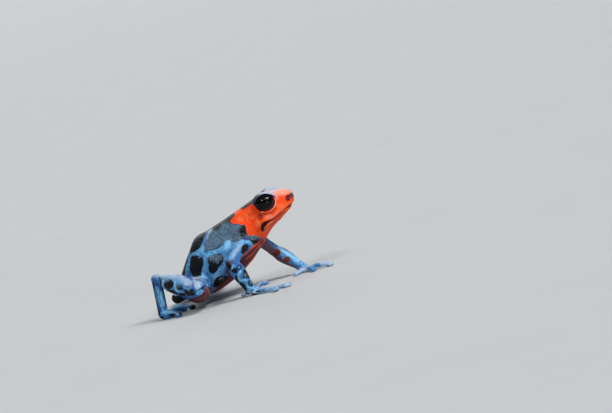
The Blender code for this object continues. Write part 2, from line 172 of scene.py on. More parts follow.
# Hollows and bulges of the skin, for the left side: the place, the radius and the height.
DENTS = (
    ((10.10, 1.85, 9.60), 0.55, -0.12),
    ((10.30, 1.35, 10.75), 0.40, 0.07),
    ((7.55, 2.50, 7.55), 0.60, 0.08),
    ((8.60, 2.30, 8.70), 0.35, 0.06),
    ((6.80, 2.40, 7.00), 0.45, -0.08),
)

# Each limb is a chain of joints, each a point and a radius.
ARM_JOINTS = {
    RIGHT: (((4.75, -1.95, 6.15), 0.92), ((3.22, -5.15, 4.62), 0.70), ((4.20, -4.10, 0.98), 0.62)),
    LEFT: (((5.20, 1.95, 5.98), 0.82), ((6.30, 4.45, 3.58), 0.68), ((8.95, 4.25, 0.90), 0.56)),
}
LEG_JOINTS = {
    RIGHT: (
        ((-2.75, -1.50, 1.98), 1.32),
        ((-1.07, -7.21, 2.74), 1.06),
        ((-6.44, -4.28, 4.84), 0.60),
        ((-6.62, -4.98, 0.70), 0.60),
    ),
    LEFT: (
        ((-2.75, 1.50, 1.98), 1.32),
        ((-1.30, 7.20, 2.50), 1.06),
        ((-7.05, 4.25, 0.92), 0.66),
        ((-5.80, 7.70, 0.88), 0.62),
    ),
}

# How much fuller each length of a limb is than its ends, and where along it.
ARM_SWELLS = ((-0.06, 0.50), (0.24, 0.34))
LEG_SWELLS = ((0.36, 0.45), (0.36, 0.50), (0.0, 0.50))
ARM_BLENDS = (0.75, 0.16)
LEG_BLENDS = (0.80, 0.18, 0.14)
DIGIT_BLEND = 0.16

# Palms and soles: the middle (x, y), the half width and the half height. Digits: the pad's middle
# (x, y, z), the height that the digit arches to, and the pad's size.
HANDS = {
    RIGHT: (
        ((4.78, -4.02), 0.58, 0.42),
        (
            ((3.00, -2.90, 0.24), 0.45, 0.80),
            ((5.85, -2.45, 0.86), 1.15, 0.84),
            ((8.72, -4.42, 0.24), 0.32, 1.25),
            ((7.60, -5.80, 0.24), 0.45, 0.92),
        ),
    ),
    LEFT: (
        ((9.62, 4.25), 0.58, 0.42),
        (
            ((8.45, 2.95, 0.24), 0.45, 0.80),
            ((10.75, 2.75, 0.24), 0.55, 0.84),
            ((12.60, 3.85, 0.24), 0.55, 1.05),
            ((11.75, 5.55, 0.24), 0.45, 0.92),
        ),
    ),
}
FEET = {
    RIGHT: (
        ((-6.02, -5.00), 0.64, 0.58),
        (
            ((-5.75, -3.55, 0.24), 0.60, 0.66),
            ((-5.35, -2.95, 0.24), 0.70, 0.74),
            ((-4.75, -2.45, 0.24), 0.90, 0.84),
            ((-3.75, -2.25, 0.24), 1.05, 0.95),
            ((-4.50, -6.20, 0.24), 0.70, 0.84),
        ),
    ),
    LEFT: (
        ((-5.30, 8.25), 0.64, 0.46),
        (
            ((-4.20, 7.20, 0.24), 0.45, 0.66),
            ((-3.70, 7.85, 0.24), 0.50, 0.74),
            ((-3.35, 8.70, 0.24), 0.55, 0.84),
            ((-3.40, 9.95, 0.24), 0.60, 0.95),
            ((-4.95, 10.20, 0.24), 0.50, 0.84),
        ),
    ),
}
DIGIT_RADIUS = 0.215
PAD_HALF_WIDTH = 0.47
PAD_HALF_LENGTH = 0.43
PAD_HALF_HEIGHT = 0.26
DIGIT_TAPER = (1.20, 0.36)
KNUCKLE = (0.62, 0.09, 0.24)

FLESH_NODES = ["head", "torso"] + [
    f"{part}_{side}"
    for part in ("upper_arm", "forearm", "hand", "thigh", "shank", "tarsus", "foot")
    for side in ("left", "right")
]

# The grid that the skin is grown on.
VOXEL = 0.05
FIELD_LOW = np.array((-8.40, -8.90, -0.30))
FIELD_HIGH = np.array((13.50, 11.00, 12.20))
FAR_DISTANCE = 1.0
TRUNK_BAND = 18
LIMB_REACH = 0.12

GRANULE_SIZE = 0.20
GRANULE_LEAST = 0.010
GRANULE_RISE = 0.024
FAR_MARK = 2.0
MARK_REACH_PIXELS = 9.0

# The photograph hides the near thigh behind the shank, and the far flank's share of the red chest.
FOOT_TOP = 1.2
SHANK_BACK = -3.9
CHEST_EDGE_PIXEL = 247.0
CHEST_FADE = 0.12

# How far a limb's drawn marks and its spots give way where the photograph doesn't, or does, show it.
FACING_LEAST = 0.05
HIDDEN_FADE = 0.8
SHOWN_FADE = 1.2
SHANK_FADE = 2
HAND_TOP = 0.70


def oval(x, y, half_width, half_height, turn=0):
    """An oval of the markings, in pixels of the photograph, turned by degrees."""
    return "oval", (x, y), (half_width, half_height), turn


def stroke(half_width, *path):
    return "stroke", half_width, path


def outline(*corners):
    return "outline", corners


# The markings: for each one and each part of the frog, the shapes it is drawn with.
SHOULDER_BAND = stroke(
    1.6, (229, 257.5), (235, 248.5), (239.5, 242.8), (243, 240.6), (247.3, 241.3), (252, 245.5)
)
UNDER_EYE = ((259.5, 211.5), (264.0, 213.8), (268.5, 214.2), (272.5, 212.2), (276.0, 208.0))
CHEST_FOLDS = (
    ((240.5, 257), (247.5, 251.5), (256, 245), (262.5, 239.5)),
    ((246, 259), (252, 254), (258.5, 247.5), (264.5, 240.5)),
    ((251, 261), (257, 254), (263, 245.5)),
)
MARKS = {
    ("black", "trunk"): (
        outline(
            (207.5, 229), (222, 220), (232, 214), (236, 213), (233, 218), (230.5, 221), (233.5, 224),
            (243.5, 224.3), (245.6, 228), (248.5, 235), (259.5, 236), (256, 245), (249, 243), (238, 242),
            (232, 241.5), (228, 242), (222, 245.5), (213, 251), (205.5, 254.3), (204.2, 250), (204.5, 243),
            (207, 236),
        ),
        outline(
            (189.5, 252.5), (193, 243), (196.5, 234.5), (203, 231), (206.6, 232), (204.5, 237),
            (201.8, 244), (200, 248.5), (195, 252),
        ),
        outline((185, 252), (189, 254), (187.8, 261), (186, 268), (184.5, 277), (179, 277), (180, 262)),
        outline(
            (193, 256), (200, 256), (203, 259), (202.9, 265), (201.8, 272), (200.5, 276.5), (193, 277),
            (191, 272), (189.9, 266), (190.3, 261),
        ),
        outline(
            (207.7, 256.5), (212.6, 254.1), (218.6, 253.5), (222.3, 256.5), (223.5, 261.4), (222.3, 265),
            (218.6, 268), (216.2, 272.3), (212.6, 273.5), (208.9, 271.7), (207.7, 265.6), (208, 261.4),
        ),
        outline(
            (217.4, 276.5), (223.5, 275.4), (228.5, 276.2), (231, 278), (226, 282), (219, 287),
            (215.5, 288), (213.6, 286.2), (213.8, 282), (215, 279),
        ),
        # Painted shade: the black wedge of the armpit.
        stroke(3.4, (243, 252), (246.5, 246.5), (252, 242)),
        stroke(1.5, (230, 255), (228.5, 261), (228.5, 267)),
    ),
    ("black", "leg_right"): (
        oval(168.5, 284.1, 5.1, 4.9),
        oval(179.2, 287.4, 3.8, 2.8),
        outline((166.5, 289), (171, 289.5), (176.5, 291.5), (178, 295.5), (172, 295.5), (168, 293.5)),
        oval(189.2, 292, 5.4, 4, 20),
        oval(182.2, 294.8, 3.4, 2, 10),
        stroke(1.4, (170, 295), (178, 298), (186, 300), (193, 299.5)),
        stroke(0.8, (198.5, 289.5), (201.5, 288), (203.5, 286.5)),
        oval(155.5, 292, 1.9, 3.4, -8),
        oval(157.6, 299.5, 2.3, 4.2, -10),
        oval(156.6, 284.4, 1.8, 1),
        stroke(1.5, (162.5, 287), (164.6, 294), (166, 301)),
        stroke(0.8, (158.8, 275.5), (160.4, 280.5), (161.2, 286)),
        stroke(1, (152.5, 283), (153.5, 292), (156, 303), (159, 314)),
        oval(171.5, 314.5, 3.4, 1.7, -8),
        oval(180.9, 313.4, 1.5, 1.9),
        oval(162, 318, 2.6, 2.4),
        oval(193, 306.5, 2.4, 3.2),
        stroke(0.5, (168, 310), (174, 308), (181, 306.5)),
    ),
    ("black", "arm_right"): (
        outline((226, 262), (229.5, 262.5), (231.2, 266), (230.2, 270), (227, 269)),
        oval(234.4, 270.4, 3.3, 3.2),
        outline((244.5, 269.5), (248, 271), (251, 277), (247, 278.2), (242.3, 277.3), (243, 274.3)),
        oval(239, 267.3, 2.9, 2.4, 20),
        outline((235, 275.5), (238, 275.8), (239.6, 279), (239.2, 282), (236.5, 281.5)),
        outline((239.5, 281.5), (243.5, 283.5), (246.8, 288.5), (245.5, 292), (240.5, 287)),
        oval(250.4, 283.4, 2.3, 2.9, -10),
        stroke(0.6, (243.5, 288.5), (246.5, 292.8), (251.5, 294.4), (257.5, 294)),
        oval(252, 291.2, 1.2, 0.8, 30),
        oval(257.3, 291.6, 1.5, 0.6, -10),
        # Painted shade in the armpit, between the upper arm and the chest.
        outline((240.8, 254), (241.6, 248), (244.8, 244.3), (248.5, 245), (247.8, 249.3), (243.5, 254)),
    ),
    ("black", "arm_left"): (
        oval(295, 259.6, 1.1, 1.5, 20),
        oval(298.3, 262.6, 1, 1.4, 20),
        oval(268.6, 235.6, 2.2, 1.6, 50),
        oval(273, 242.2, 2.6, 1.3, 55),
    ),
    ("black", "leg_left"): (
        oval(175, 300, 9, 5),
    ),
    ("slate", "trunk"): (
        outline(
            (208.5, 233), (213, 230.5), (218.5, 229), (222, 224), (228, 222.5), (231, 223.8), (240.5, 225),
            (239, 228.5), (238.5, 233), (241.5, 237.5), (236, 241), (224, 243), (216, 248), (206, 253),
            (204.8, 247), (205.5, 240),
        ),
        outline((209, 256), (218, 254.5), (221, 258), (217, 262), (210, 261)),
        outline((246, 235), (259, 235.5), (256, 239.5), (248, 239.5)),
    ),
    ("slate", "leg_right"): (
        oval(177.5, 284.3, 4.4, 3.6),
        oval(166.5, 279.5, 3.5, 3),
        oval(155.5, 292, 2, 3.4, -8),
        oval(157.6, 299.5, 2.4, 4.2, -10),
    ),
    ("slate", "arm_right"): (
        oval(245.2, 276, 2, 1.2),
        oval(250.2, 282.8, 1.1, 1.5),
    ),
    ("pale", "trunk"): (
        oval(227.7, 245.2, 4.3, 5.2, 20),
        stroke(2.1, (227, 248), (221, 250), (213, 252.2), (206, 255.2)),
        stroke(1.2, (201.3, 249.5), (204.5, 255), (205.4, 259)),
        stroke(0.6, (205.4, 259), (205.4, 266), (204.3, 275)),
        stroke(1.2, (201, 249.5), (196, 252.8), (190.5, 255.5), (188.6, 262), (188, 270)),
        stroke(1.3, (226.5, 250), (226, 257), (225.5, 263), (219.5, 272)),
        stroke(0.9, (209.5, 230.5), (205.8, 237), (203, 243.5), (201.3, 248.5)),
        SHOULDER_BAND,
    ),
    ("pale", "arm_right"): (
        SHOULDER_BAND,
        stroke(1, (233.2, 265), (231.8, 268)),
        stroke(0.9, (240.8, 271.5), (238.5, 275)),
        stroke(1, (240.5, 279.3), (246.5, 280.6)),
        stroke(0.9, (247, 286.5), (251.5, 288)),
        oval(239, 267.1, 1.1, 0.9),
        stroke(0.7, (248.5, 289.8), (254.5, 288.4), (260.5, 289.2)),
        oval(229.8, 258.6, 2.2, 1.8),
    ),
    ("pale", "leg_right"): (
        stroke(0.8, (163.4, 282), (162.8, 286), (165, 289.8)),
        stroke(0.9, (174.8, 281.5), (174.8, 287), (177.2, 291.3), (182, 292)),
        oval(199.5, 292.8, 3.6, 2.6, -20),
        stroke(0.9, (183.8, 285.5), (185.8, 288.6), (191, 288)),
        # A painted highlight on the tarsus.
        oval(162, 304.8, 1.8, 3),
        stroke(1, (164, 313), (169.5, 308.8), (178, 306.6), (187, 305.6)),
        stroke(0.8, (166, 314.5), (174, 311.5), (180, 312)),
        stroke(1.2, (164, 310.5), (173, 308), (183, 306.3), (190, 305.8)),
        stroke(1, (157, 287), (158.5, 296), (160.5, 304), (162, 310)),
    ),
    ("pale", "arm_left"): (
        stroke(2.6, (279, 249.5), (288, 255), (297, 260.5), (303, 264.5)),
        stroke(1.2, (281.5, 254.5), (284.5, 258.5), (290, 263)),
    ),
    ("sky", "trunk"): (
        oval(227.9, 245, 3.4, 4.6, 20),
    ),
    ("sky", "arm_left"): (
        stroke(1.3, (281, 250), (289, 254.5), (298, 260)),
    ),
    ("sky", "arm_right"): (
        stroke(0.5, (233.4, 265), (232, 268)),
        stroke(0.5, (240.8, 271.5), (238.7, 275.2), (240.5, 279.3), (246.5, 280.6)),
        stroke(0.5, (247, 286.5), (251.5, 288)),
        stroke(0.5, (253.4, 280.5), (254.2, 284.5), (252.5, 288.5)),
    ),
    ("sky", "leg_right"): (
        stroke(0.6, (163.6, 281), (162.9, 285.5), (165, 290)),
        stroke(0.6, (174.6, 281.5), (174.8, 286.5), (177, 291)),
        stroke(1.1, (161.2, 293), (162.8, 300), (164.2, 306)),
        stroke(0.8, (167.5, 309), (174, 306.4), (182, 305.2), (189, 305.6)),
        stroke(0.8, (161.5, 313), (167, 311.6), (172, 310.6)),
        stroke(0.6, (174, 311.5), (179, 311.8)),
    ),
    # Painted sheen along the tops of the shank and knee, the upper arm and the hump.
    ("bone", "leg_right"): (
        oval(197.3, 284.6, 3.4, 4.2, -20),
        stroke(0.9, (158, 276), (166, 275.2), (176, 276), (184, 278.5), (189, 283.5)),
        oval(187, 283.2, 2.8, 2.2, 30),
    ),
    ("bone", "trunk"): (
        stroke(0.8, (206.6, 238), (208.8, 233.2), (211.5, 230)),
        stroke(0.7, (233.5, 254.8), (237, 249.5)),
    ),
    ("bone", "arm_right"): (
        stroke(0.8, (232.5, 256.3), (236.5, 250.2), (239.5, 246)),
    ),
    ("violet", "trunk"): (
        stroke(1, (180, 276.5), (185, 276), (190, 279.5), (195, 279.5)),
        stroke(0.3, (207.6, 233.5), (204.6, 240), (202, 246.5)),
        stroke(0.6, (228.8, 256.5), (227.2, 262), (227.8, 268)),
        stroke(0.3, (241, 241), (245, 238.2), (249, 238.5)),
    ),
    ("violet", "leg_right"): (
        stroke(0.4, (192.4, 281), (193.2, 284), (194.2, 288)),
        stroke(0.7, (196, 279.3), (201, 280.5), (205.5, 284), (207.6, 288.5)),
        stroke(0.9, (183, 274.5), (188, 277), (192, 279)),
        stroke(0.7, (153.5, 279), (157, 283), (157.5, 287)),
    ),
    ("violet", "arm_right"): (
        stroke(0.5, (228.2, 256), (227.2, 260), (226.8, 264)),
        stroke(0.3, (233.5, 262.5), (237, 264.5), (242.5, 264.5)),
    ),
    ("mauve", "arm_left"): (
        outline(
            (262, 236.5), (266.5, 239), (271, 244.5), (274.5, 249.5), (274, 253), (270, 256), (262, 249),
        ),
        stroke(2.6, (270, 252.5), (279, 260), (286, 264.5), (294, 268)),
    ),
    ("mauve", "arm_right"): (
        oval(231, 262, 1.8, 2.3),
    ),
    ("brown", "arm_left"): (
        oval(277, 252.2, 3.9, 3.5, 30),
        oval(287, 259.6, 3.2, 3.2),
    ),
    ("maroon", "leg_right"): (
        outline(
            (206, 287.5), (203.4, 291.8), (200, 295.4), (194, 297.8), (191, 303), (202, 308), (214, 302),
            (214, 287),
        ),
    ),
    ("maroon", "trunk"): (
        outline(
            (238, 258), (243, 253.5), (250, 248.5), (256, 243.5), (260, 238.5), (270, 238), (266, 250),
            (256, 262), (247, 271), (241, 270),
        ),
    ),
    # Painted reflection of red below the frog, on the belly strip and the arm's inner side.
    ("belly", "arm_right"): (
        outline(
            (241.5, 256.5), (247.5, 251.5), (251.5, 246.5), (257, 244), (257, 252), (247, 264),
            (241, 260.5),
        ),
    ),
    ("belly", "trunk"): (
        outline(
            (229, 267.5), (233.5, 270.5), (237, 268), (236, 277), (229, 283.5), (219, 290.5), (212, 293),
            (216, 288.5), (224, 282.8), (229.5, 277.5), (226.5, 272),
        ),
    ),
    ("red_fold", "arm_right"): (
        stroke(0.6, (242, 257), (247.5, 252), (253.5, 246.5)),
        stroke(0.4, (244.5, 260), (249.5, 255), (254.5, 250)),
    ),
    ("red_fold", "trunk"): (
        *(stroke(0.7, *path) for path in CHEST_FOLDS),
        stroke(1.3, (268, 238.5), (262.5, 247.5), (255, 257.5), (247, 267.5)),
        stroke(0.7, (246, 268.5), (237, 277.5), (226, 286.5), (216, 292.3)),
    ),
    ("orange", "trunk"): (
        outline(
            (300, 150), (300, 225), (275, 233), (268, 238.6), (262, 237.6), (254, 235.6), (248.6, 235),
            (247.2, 231.7), (245.4, 227.4), (243.6, 224.4), (233.5, 224), (230, 221.6), (232.5, 218),
            (234.8, 213), (230, 190),
        ),
    ),
    ("shade", "trunk"): (
        oval(260.3, 216.2, 2.4, 4),
        stroke(0.9, *UNDER_EYE),
        stroke(0.7, (284, 211.2), (279.5, 216), (274.5, 221.5), (270, 225.5)),
        stroke(1, (257.5, 206.5), (259.5, 210.5)),
    ),
    # A painted highlight on the cheek's bulge (the oval), and the pink upper lip (the strokes).
    ("salmon", "trunk"): (
        oval(268.2, 217, 3.8, 1.8, -22),
        stroke(0.8, (283.4, 209.6), (280, 211.6), (275.6, 215.2), (270.5, 219)),
        stroke(0.55, (273, 221.2), (269.5, 223.8), (266.9, 226.2)),
    ),
    ("mottle", "trunk"): (
        oval(252.3, 217.3, 2.2, 1.9),
        oval(257.6, 224, 2.2, 2.8),
        oval(250, 211.5, 2.2, 1.5),
        oval(240, 219.5, 3.6, 2.2),
        oval(246.5, 215.5, 2.4, 1.2, 60),
        oval(281, 206, 2, 1.6),
    ),
    # Where black spots carry painted glints, as pale specks on their granules.
    ("frost", "trunk"): (
        oval(214.5, 259, 6.5, 5),
        outline((245.5, 235.5), (259, 235.5), (256, 239.5), (247.5, 240)),
        oval(240.5, 236.5, 5, 3.5),
        oval(199.5, 256.5, 3.5, 1.6),
        oval(222, 278.5, 4, 1.5, -20),
    ),
    ("frost", "leg_right"): (
        oval(179, 284.5, 3.6, 2.2),
        oval(189, 289.5, 3, 1.2, 20),
    ),
    ("frost", "arm_right"): (
        oval(245.5, 274.5, 2.2, 2.2),
        oval(250.2, 282.5, 1.4, 1.8),
    ),
    # Painted sheen on the top of the snout.
    ("peach", "trunk"): (
        outline((270, 184), (291, 186), (293.3, 191), (291, 193.4), (281, 194.3), (274.5, 194.8)),
    ),
    # Painted sheen on the crown between the eyes.
    ("crown", "trunk"): (
        outline((256, 193), (262, 187), (272, 184), (279, 185.5), (277.5, 190.5), (271, 194), (262, 196)),
    ),
    ("lip_red", "trunk"): (
        stroke(0.55, (280.6, 213), (276.5, 216.4), (272.3, 220.2)),
    ),
    ("ink", "trunk"): (
        stroke(1.9, (242.5, 208), (248.2, 204), (253.6, 200.2)),
        outline(
            (252.5, 200.5), (256, 197.5), (258.5, 200), (257, 205), (258.6, 209), (256, 207.5),
            (253.2, 204),
        ),
    ),
    ("nostril", "trunk"): (
        oval(287.9, 197.8, 2.3, 3.4),
    ),
    ("drum", "trunk"): (
        oval(260.7, 216.4, 0.9, 1.6),
        outline((288.8, 194.4), (292, 192.8), (293.6, 196.2), (291, 198)),
    ),
    # A painted sheen along the thigh's upper outline.
    ("chalk", "leg_right"): (
        stroke(0.3, (193, 278.2), (198.5, 278), (204, 281.4), (208, 286.2)),
    ),
    ("pink", "leg_right"): (
        stroke(0.45, (206.3, 287.5), (209, 291.5), (209.2, 296), (206.5, 300.5)),
        stroke(0.35, (205, 290.5), (206.6, 294), (205.5, 298.5)),
    ),
    ("pink", "trunk"): (
        oval(287.4, 197.3, 0.4, 0.5),
        stroke(0.6, (265, 227), (264.5, 229.4), (264.6, 231.2)),
    ),
}
FACE_MARKS = (
    "shade", "salmon", "mottle", "peach", "crown", "lip_red", "ink", "chalk", "nostril", "drum", "pink",
)

# How far drawn edges stray from their shapes, and over what length.
DRIFT_AMOUNT = 0.060
DRIFT_SIZE = 1.0
DRIFT_WAVES = 6
DRIFT_SEED = 21

# Black spots where the photograph doesn't show a limb.
SPOT_SEED = {"arm_left": 3, "arm_right": 5, "leg_left": 7, "leg_right": 11}
SPOT_SPACING = 1.20
SPOT_RADII = (0.28, 0.58)
SPOT_TRIES = 1500
SPOT_DRIFT = 1.4

AZURE = (0.022, 0.115, 0.270, 1.0)
SKY_BLUE = (0.160, 0.430, 0.700, 1.0)
SKY_BRIGHT = (0.240, 0.560, 0.840, 1.0)
VEIN_BLUE = (0.060, 0.215, 0.430, 1.0)
LIMB_DEEP = (0.010, 0.080, 0.270, 1.0)
LIMB_BLUE = (0.048, 0.215, 0.470, 1.0)
# Painted sheen: the pale periwinkle that limb tops turn as they face up.
PERIWINKLE_SHEEN = (0.275, 0.390, 0.530, 1.0)
BLACK = (0.002, 0.002, 0.003, 1.0)
# Painted glints: the grey of granules on black skin that faces up.
BLACK_GLINT = (0.018, 0.024, 0.028, 1.0)
SLATE_LOW = (0.060, 0.108, 0.152, 1.0)
SLATE_HIGH = (0.115, 0.195, 0.275, 1.0)
# Painted glints: pale specks on the granules of some black spots.
GLINT_GREY = (0.165, 0.200, 0.235, 1.0)
# Painted sheen: pale grey-blue along the tops of the shank, knee, upper arm and hump.
PAINTED_SHEEN_GREY = (0.380, 0.450, 0.540, 1.0)
VIOLET = (0.030, 0.046, 0.290, 1.0)
MAUVE = (0.120, 0.062, 0.085, 1.0)
BROWN = (0.150, 0.027, 0.016, 1.0)
MAROON = (0.090, 0.018, 0.030, 1.0)
# Painted reflection: dark red from red below the frog.
REFLECTION_RED = (0.120, 0.020, 0.014, 1.0)
FOLD_RED = (0.640, 0.080, 0.030, 1.0)
ORANGE_RED = (0.900, 0.050, 0.002, 1.0)
ORANGE_LIGHT = (0.900, 0.100, 0.010, 1.0)
SHADE_ORANGE = (0.380, 0.036, 0.006, 1.0)
MOTTLE = (0.900, 0.150, 0.045, 1.0)
# A painted highlight on the cheek, and the pink of the upper lip.
SALMON = (0.800, 0.200, 0.120, 1.0)
# Painted sheen on the top of the snout.
SNOUT_SHEEN_PEACH = (0.860, 0.330, 0.220, 1.0)
NOSTRIL_RED = (0.120, 0.007, 0.008, 1.0)
DRUM_GREY = (0.110, 0.024, 0.034, 1.0)
FLESH_PINK = (0.420, 0.130, 0.110, 1.0)
MOUTH_DARK = (0.014, 0.003, 0.003, 1.0)
LIP_RED = (0.220, 0.006, 0.008, 1.0)
# Painted sheen along an outline.
EDGE_SHEEN_GREY = (0.470, 0.480, 0.490, 1.0)
PUPIL_BLACK = (0.0004, 0.0004, 0.0008, 1.0)
# A painted red reflection on the iris, low in front.
IRIS_REFLECTION_RED = (0.260, 0.008, 0.014, 1.0)
LID_GREY = (0.042, 0.052, 0.082, 1.0)
# Painted sheen on the tops of the upper lids.
LID_SHEEN_PALE = (0.520, 0.610, 0.730, 1.0)
# Painted shadow just under the upper lid's edge.
LID_SHADOW = (0.012, 0.012, 0.080, 1.0)
# Painted sheen on the crown between the eyes.
CROWN_SHEEN_PINK = (0.680, 0.420, 0.440, 1.0)
RIM_PINK = (0.860, 0.340, 0.250, 1.0)
FINGER_BLUE = (0.330, 0.460, 0.640, 1.0)

# The layers over the blue and black ground, from the lowest: the marking, its colour, how soft its edge
# is and how far it wobbles, in millimetres.
LAYERS = (
    ("pale", SKY_BLUE, 0.10, 0.08),
    ("sky", SKY_BRIGHT, 0.16, 0.12),
    # Painted sheen.
    ("bone", PAINTED_SHEEN_GREY, 0.16, 0.10),
    ("violet", VIOLET, 0.16, 0.06),
    ("mauve", MAUVE, 0.25, 0.15),
    ("brown", BROWN, 0.10, 0.10),
    ("maroon", MAROON, 0.14, 0.12),
    # Painted red reflection.
    ("belly", REFLECTION_RED, 0.16, 0.12),
    ("red_fold", FOLD_RED, 0.07, 0.06),
    ("orange", None, 0.04, 0.05),
    ("shade", SHADE_ORANGE, 0.14, 0.06),
    ("mottle", MOTTLE, 0.26, 0.12),
    # Painted highlight on the cheek, and the lip's pink.
    ("salmon", SALMON, 0.16, 0.08),
    # Painted sheen on the snout's top.
    ("peach", SNOUT_SHEEN_PEACH, 0.32, 0.10),
    # Painted sheen on the crown.
    ("crown", CROWN_SHEEN_PINK, 0.25, 0.10),
    ("ink", BLACK, 0.05, 0.05),
    # Painted sheen along an outline.
    ("chalk", EDGE_SHEEN_GREY, 0.05, 0.12),
    ("nostril", NOSTRIL_RED, 0.06, 0.03),
    ("drum", DRUM_GREY, 0.08, 0.05),
    ("mouth", MOUTH_DARK, 0.03, 0.02),
    ("lip_red", LIP_RED, 0.05, 0.02),
    ("pink", FLESH_PINK, 0.05, 0.03),
    ("rim", RIM_PINK, 0.04, 0.03),
    ("lid", LID_GREY, 0.10, 0.08),
    # Painted sheen on the lids' tops, only where they face up.
    ("crest", LID_SHEEN_PALE, 0.30, 0.10),
    # Painted shadow under the lids' edges.
    ("lid_line", LID_SHADOW, 0.04, 0.02),
)

# Where one tone gives way to the next on its noise or height, and how softly.
GRAIN_STEP = (0.85, 0.35)
BLUE_STEP = (0.54, 0.18)
LIMB_STEP = (0.50, 0.18)
LIT_STEP = (0.95, 0.35)
FINGER_STEP = (0.44, 0.08)
# How far black skin must face up before it shows its painted glints.
BLACK_GLINT_STEP = (0.25, 0.5)
SPECK_STEP = (1.0, 0.16)
WARM_STEP = (0.56, 0.20)
VEIN_STEP = (1.02, 0.35)
UNDER_STEP = (0.10, 0.50)

# The finishes: noises and cells to the metre, and numbers that are the same all over a material.
BROAD_NOISE = 420.0
FINE_NOISE = 1800.0
BLOTCH_NOISE = 700.0
IRIS_NOISE = 2500.0
BUMP_CELLS = 6500.0
BUMP_HEIGHT = 0.00004
BUMP_STRENGTH = 0.35
SKIN_ROUGHNESS = 0.28
SKIN_SPECULAR = 0.15
SKIN_COAT = 0.10
SKIN_COAT_ROUGHNESS = 0.14
EYE_ROUGHNESS = 0.02
EYE_IOR = 1.38
EYE_SPECULAR = 0.29

# The stage: a pale floor whose far rim rises gently, so that it has no hard horizon.
FLOOR_RADIUS = 4.0
FLOOR_FLAT_RADIUS = 1.5
FLOOR_RIM_HEIGHT = 0.30
FLOOR_SIDES = 96
FLOOR_RINGS = 24
FLOOR_TONES = ((0.53, 0.53, 0.52, 1.0), (0.57, 0.57, 0.56, 1.0))
FLOOR_NOISE = 60.0
FLOOR_ROUGHNESS = 0.8
FLOOR_SPECULAR = 0.2

# The light: a dome that is brighter overhead, with softboxes in it. A softbox is the way it comes from, in
# the photograph's right, up and towards axes, its half width and half height, and its strength.
LIGHT_COLOUR = (0.93, 0.965, 1.0, 1.0)
DOME_LOW = 0.12
DOME_HIGH = 0.35
SOFTBOX_EDGE = 0.02
SOFTBOXES = (
    ((0.20, 0.74, 0.64), 0.36, 0.16, 1.6),
    ((0.33, 0.82, 0.46), 0.22, 0.09, 29.0),
    ((-0.43, 0.45, 0.78), 0.09, 0.08, 24.0),
    ((0.41, 0.11, 0.90), 0.06, 0.05, 34.0),
    ((-0.30, 0.48, -0.86), 0.35, 0.12, 2.5),
)


def main():
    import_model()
    origin = frame_origin()
    camera(origin)
    skin = grow_skin()
    mesh = skin.data
    part = part_of(vertices_of(mesh))
    sculpt(mesh, part == "trunk")
    mark(mesh, part)
    dress(skin, origin)
    for side in (LEFT, RIGHT):
        eye(side, origin)
    stage()
    studio_light()


def frame_origin():
    """Where the frog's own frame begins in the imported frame, in millimetres, from the right eye's box."""
    low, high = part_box("eye_right")
    middle = (np.array(low) + np.array(high)) / 2 / METRES_PER_MM
    return middle - np.array(CAD_EYE_CENTRE)


# The photograph's view


def view_axes():
    """The photograph's right, up and towards-the-camera directions."""
    level, rise = math.cos(VIEW_ELEVATION), math.sin(VIEW_ELEVATION)
    toward = np.array((math.sin(VIEW_AZIMUTH) * level, -math.cos(VIEW_AZIMUTH) * level, rise))
    across = np.array((math.cos(VIEW_AZIMUTH), math.sin(VIEW_AZIMUTH), 0.0))
    upward = np.cross(toward, across)
    right = across * math.cos(VIEW_ROLL) - upward * math.sin(VIEW_ROLL)
    up = across * math.sin(VIEW_ROLL) + upward * math.cos(VIEW_ROLL)
    return right, up, toward


def view_centre():
    """The point at the middle of the photograph, level with the frame's origin."""
    right, up, _ = view_axes()
    middle = np.array(PHOTO_SIZE) / 2
    return (
        right * (middle[0] - ORIGIN_PIXEL[0]) / PIXELS_PER_MM
        + up * (ORIGIN_PIXEL[1] - middle[1]) / PIXELS_PER_MM
    )


def photo_pixels(points):
    """Where points of the frog's frame fall in the photograph, in pixels."""
    right, up, toward = view_axes()
    local = points - view_centre()
    scale = PIXELS_PER_MM * VIEW_DISTANCE / (VIEW_DISTANCE - local @ toward)
    x = PHOTO_SIZE[0] / 2 + local @ right * scale
    y = PHOTO_SIZE[1] / 2 - local @ up * scale
    return np.stack((x, y), axis=1)


def camera(origin):
    right, up, toward = view_axes()
    place = (origin + view_centre() + toward * VIEW_DISTANCE) * METRES_PER_MM
    data = bpy.data.cameras.new("camera")
    data.sensor_width = SENSOR_WIDTH
    data.lens = PIXELS_PER_MM * VIEW_DISTANCE * SENSOR_WIDTH / PHOTO_SIZE[0]
    data.clip_start = 0.01
    made = bpy.data.objects.new("camera", data)
    turn = Matrix((right, up, toward)).transposed().to_4x4()
    made.matrix_world = Matrix.Translation(Vector(place)) @ turn
    bpy.context.scene.collection.objects.link(made)
    bpy.context.scene.camera = made


# Signed distances, negative inside


def chain_distance(x, y, z, points, radii):
    """Distances to a round-ended tube of varying radius along points."""
    nearest = None
    for start, end, start_radius, end_radius in zip(points, points[1:], radii, radii[1:]):
        along = end - start
        px, py, pz = x - start[0], y - start[1], z - start[2]
        share = np.clip((px * along[0] + py * along[1] + pz * along[2]) / along.dot(along), 0, 1)
        away = (px - share * along[0], py - share * along[1], pz - share * along[2])
        gap = np.sqrt(away[0] ** 2 + away[1] ** 2 + away[2] ** 2)
        distance = gap - (start_radius + (end_radius - start_radius) * share)
        nearest = distance if nearest is None else np.minimum(nearest, distance)
    return nearest


